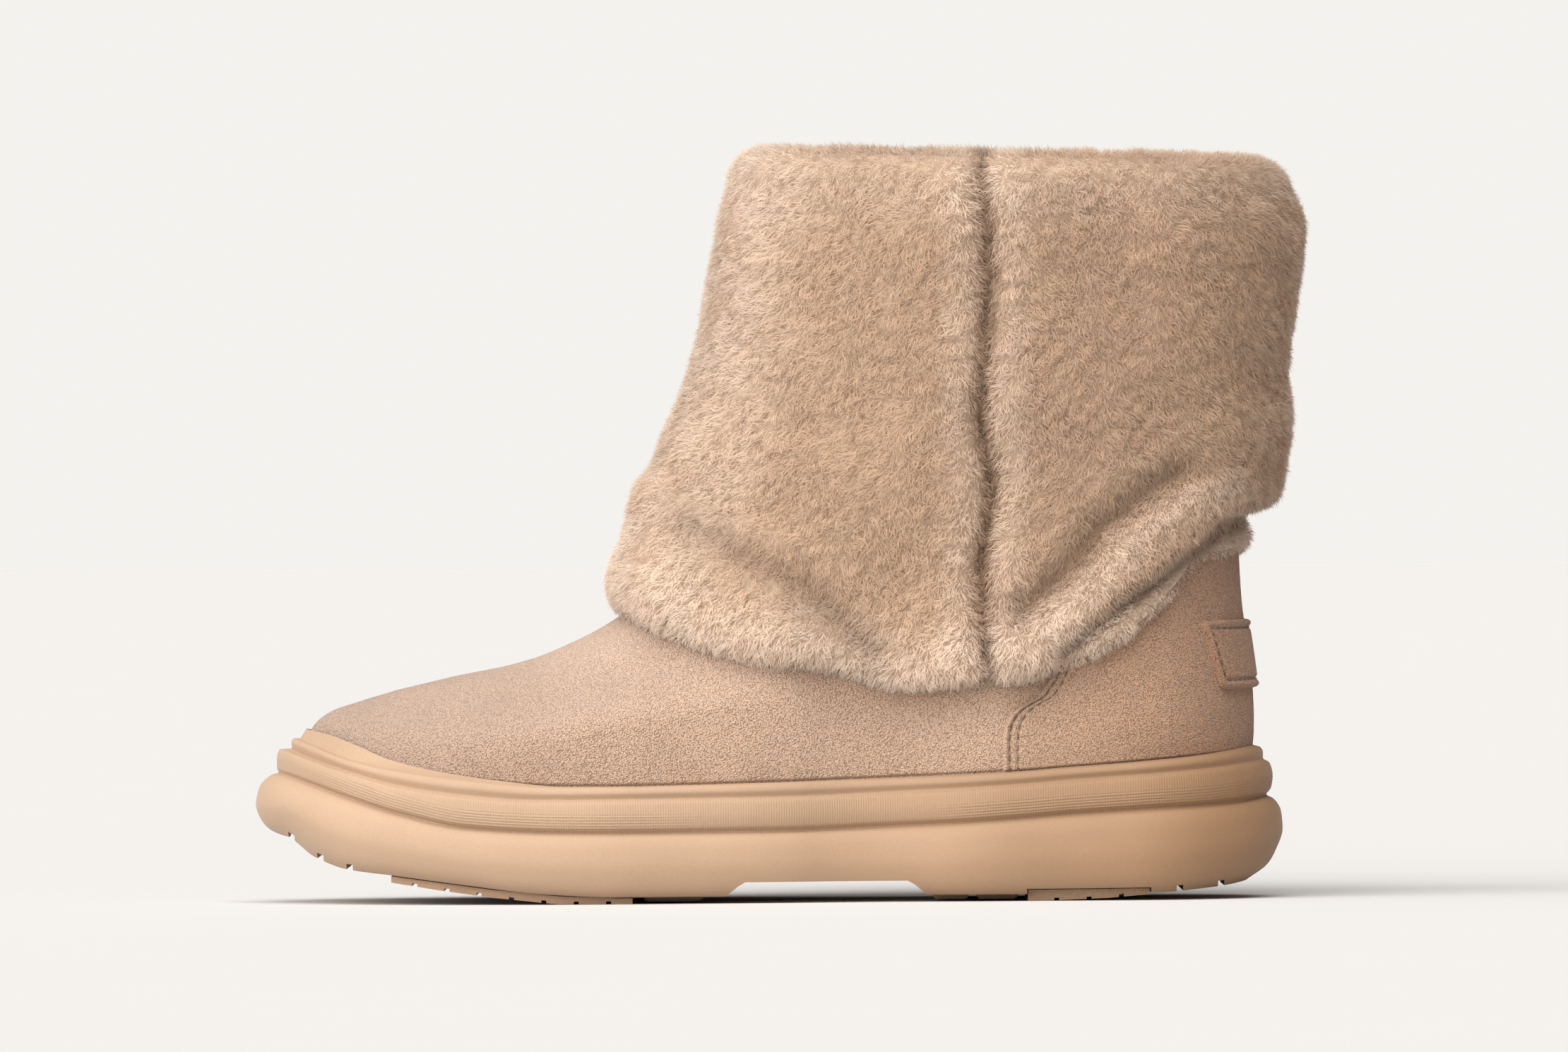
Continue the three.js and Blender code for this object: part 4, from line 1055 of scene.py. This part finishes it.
def painted_fur_light(root, ring):
    """Painted highlight and painted shade of the fibres at their roots: lighter at the hem, the
    crown of the roll, the leading edge, beside the seam and along the rear roll; darker in a trough
    or the seam.
    """
    x, z = root[:, 0], root[:, 2]
    off_seam = np.abs(x - sole_length * seam["x"](z / collar_height))
    to_front = x - edge_at_height(z, front_x, 0)
    hem_edge = 1 - smoothstep(ring, 14, 42)
    crown = smoothstep(ring, 88, 100) * (1 - smoothstep(ring, 112, 122))
    leading = 1 - smoothstep(to_front, -2, 22)
    beside = smoothstep(off_seam, 2, 5) * (1 - smoothstep(off_seam, 7, 15))
    roll = np.exp(-((path_distance(x, z, rear_roll) / 4.5) ** 2))
    # Painted highlight on the hem, the crown, the leading edge, beside the seam and along the rear
    # roll.
    painted_highlight = np.clip(hem_edge + 0.45 * crown + 0.6 * leading + 0.5 * beside + 0.8 * roll, 0, 1)
    # Painted shade in the seam and in the troughs.
    painted_shade = 0.8 * np.exp(-((off_seam / 2.2) ** 2))
    for _, width, path in troughs:
        away = path_distance(x, z, path)
        painted_shade = np.maximum(painted_shade, 0.55 * np.exp(-((away / (1.1 * width)) ** 2)))
    return painted_highlight * (1 - 0.6 * painted_shade), painted_shade


def fur_object(name, front, count, seed):
    """Curved fibres, each two long triangles, gathered in tufts."""
    rng = np.random.default_rng(seed)
    skin, _ = cuff_stack(panel_turns(front), root_depth)
    normal = grid_normals(skin)
    down = -unit(np.gradient(skin, axis=0))
    a = skin[1:, :-1] - skin[:-1, :-1]
    b = skin[:-1, 1:] - skin[:-1, :-1]
    area = np.linalg.norm(np.cross(a, b), axis=-1)
    area[thin_row:] *= thin_share
    cells = rng.choice(area.size, count, p=(area / area.sum()).ravel())
    r, c = cells // area.shape[1], cells % area.shape[1]
    u, v = rng.random(count)[:, None], rng.random(count)[:, None]

    def read(grid):
        low = grid[r, c] * (1 - u) + grid[r, c + 1] * u
        high = grid[r + 1, c] * (1 - u) + grid[r + 1, c + 1] * u
        return low * (1 - v) + high * v

    root, n, flow = read(skin), unit(read(normal)), read(down)
    flow = flow + np.array([-0.45 if front else -0.2, 0, 0])
    flow = unit(flow - n * np.sum(flow * n, -1, keepdims=True))
    side = np.cross(n, flow)
    swirl = 1.0 * noise(root, 8.0, 11) + 1.0 * noise(root, 2.0, 12) + rng.normal(0, 0.6, count)
    lie = flow * np.cos(swirl)[:, None] + side * np.sin(swirl)[:, None]
    across = np.cross(n, lie)
    tuft = noise(root, tuft_size, tuft_seed)
    step = 0.4
    gather = [noise(root + step * e, tuft_size, tuft_seed) - tuft for e in np.eye(3)]
    gather = np.stack(gather, -1) / step
    gather = gather - n * np.sum(gather * n, -1, keepdims=True)
    long = fibre_length + 0.7 * noise(root, 8.0, 31) + 0.5 * tuft + rng.normal(0, 0.5, count)
    long = long[:, None]
    long = np.clip(long, 2.5, 7.0) * (0.72 + 0.28 * smoothstep(r, 0, 16))[:, None]
    rise, lean = rng.uniform(0.75, 1.0, count)[:, None], rng.uniform(0.35, 0.75, count)[:, None]
    middle = root + (n * rise + lie * lean * 0.7) * long * 0.5
    tip = middle + (n * rise * 0.45 + lie * lean * 1.25) * long * 0.5 + gather * 1.2
    half = rng.uniform(*fibre_half_width, count)[:, None]
    points = np.stack([root, middle - across * half, middle + across * half, tip], 1)
    base = np.arange(count)[:, None] * 4
    faces = np.concatenate([base + (0, 1, 2), base + (1, 3, 2)])
    # Painted highlight and painted shade by place on the cuff set the fibres' colour here.
    painted_highlight, painted_shade = painted_fur_light(root, r)
    tone = 1 + 0.05 * noise(root, 14.0, 41) + 0.03 * tuft + rng.normal(0, 0.035, count)
    tone = np.clip(tone * (1 - 0.3 * painted_shade), 0.5, 1.15)
    light = blend(fur_colour, painted_highlight_colour, painted_highlight[:, None])
    # Painted shade: the fibres are darker at the root.
    shade = light * painted_root_shade
    ends = np.array([0.0, 0.62, 0.62, 1.0])[:, None]
    colour = (shade[:, None] + (light - shade)[:, None] * ends) * tone[:, None, None]
    tones = np.concatenate([colour, np.ones((count, 4, 1))], -1)
    up = np.array([0, 0, 1.0]) * (0.2 + 0.8 * (1 - smoothstep(r, 20, 60)))[:, None]
    soft = unit(n - 0.45 * gather + 0.12 * rng.normal(0, 1, (count, 3)) + up)
    normals = np.broadcast_to(soft[:, None], points.shape).reshape(-1, 3)
    return mesh_object(name, to_metres(points).reshape(-1, 3), faces,
                       tones.reshape(-1, 4), normals)


scale_count = 1.0
for name, front in (("cuff_front", True), ("cuff_rear", False)):
    skin = build_hide(name + "_hide", front)
    skin.data.materials.append(hide)
    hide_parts(name)
    for number in range(2):
        seed = 100 + number + (0 if front else 10)
        label = "%s_fur_%d" % (name, number)
        tufts = fur_object(label, front, int(fibre_count * scale_count), seed)
        tufts.data.materials.append(fibres)
        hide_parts(name)


# The inside

def build_lining():
    """Wool inside the shaft and over the foot, from the insole up to the cuff's inner leg."""
    turn = np.arange(220) / 220
    rows = np.linspace(0.8, 15.3, 90)
    wool = 1.6
    wall = upper_offset(rows[:, None], turn[None, :], -upper_wall - wool)
    curl = 0.9 * noise(wall, 3.4, 51) + 0.5 * noise(wall, 1.5, 52)
    wall = wall + grid_normals(wall, True) * curl[..., None]
    return grid_object("lining", wall[:, ::-1], wrap_columns=True)


def build_footbed():
    """The fleecy footbed over the insole's solid."""
    columns = 200
    turn = np.arange(columns) / columns
    edge = upper_offset(np.zeros(columns), turn, -upper_wall - 0.5)
    centre = np.stack([edge[:, 0], sole_centre(edge[:, 0]), edge[:, 2]], -1)
    centre[:, 0] = np.clip(edge[:, 0], 40, sole_length - 40)
    rows = []
    seat = lambda x: line_height("lip", x) - seat_depth
    for inward, rise in ((0, 0), (0, 0.5), (0.02, 0.8)):
        ring = blend(edge, centre, inward)
        ring[:, 2] = seat(ring[:, 0]) + rise * insole_thickness
        rows.append(ring)
    for inward in np.linspace(0.06, 1, 34):
        ring = blend(edge, centre, inward)
        curl = 0.45 * noise(ring, 3.0, 61) + 0.3 * noise(ring, 1.4, 62)
        ring[:, 2] = seat(ring[:, 0]) + insole_thickness * 0.95 + curl
        rows.append(ring)
    return grid_object("footbed", np.stack(rows), wrap_columns=True)


lining = build_lining()
lining.data.materials.append(fleece)
footbed = build_footbed()
footbed.data.materials.append(fleece)
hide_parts("insole")


# The studio: a pale floor, an even pale surround and two soft suns, the key from the left

floor_mesh = bpy.data.meshes.new("floor")
reach = 40.0
floor_mesh.from_pydata([(-reach, -reach, 0), (reach, -reach, 0), (reach, reach, 0),
                        (-reach, reach, 0)], [], [(0, 1, 2, 3)])
floor = add_object("floor", floor_mesh)
paper, paper_net, paper_shader = new_material("paper", 0.95, 0.0, 0.5, 0.0)
paper_grain = paper_net.noise(paper_net.place(), 6, 2.0, 0.5)
paper_net.links.new(paper_net.ramp(paper_grain, [(0.3, (0.622, 0.618, 0.616)),
                                                 (0.7, (0.625, 0.621, 0.619))]),
                    paper_shader.inputs["Base Color"])
floor_mesh.materials.append(paper)

world = bpy.data.worlds.new("surround")
sky = Nodes(world)
direction = sky.split(sky.place("Generated"))
leftward = sky.calc("MULTIPLY", direction[0], -0.5)
forward = sky.calc("MULTIPLY", direction[1], -0.15)
openness = sky.calc("ADD", sky.calc("ADD", leftward, forward), 0.5)
dome = sky.ramp(openness, [(0.1, (0.1, 0.075, 0.055)), (0.55, (0.32, 0.31, 0.29)),
                           (0.95, (0.8, 0.8, 0.79))])
wall = sky.ramp(direction[0], [(0.2, (0.905, 0.888, 0.855)), (0.8, (0.5, 0.42, 0.35))])
height = sky.ramp(direction[2], [(0.06, (0, 0, 0)), (0.2, white)])
sky.links.new(sky.mix(wall, dome, height, "MIX"), sky.nodes["Background"].inputs["Color"])
bpy.context.scene.world = world

for label, energy, spread, tilt, turn in (("key", 3.2, 75, 64, -36), ("top", 2.2, 46, 24, 8)):
    lamp = bpy.data.lights.new(label, "SUN")
    lamp.energy = energy
    lamp.angle = math.radians(spread)
    lamp.color = (1.0, 0.985, 0.96)
    sun = add_object(label, lamp)
    sun.rotation_euler = (math.radians(tilt), 0.0, math.radians(turn))
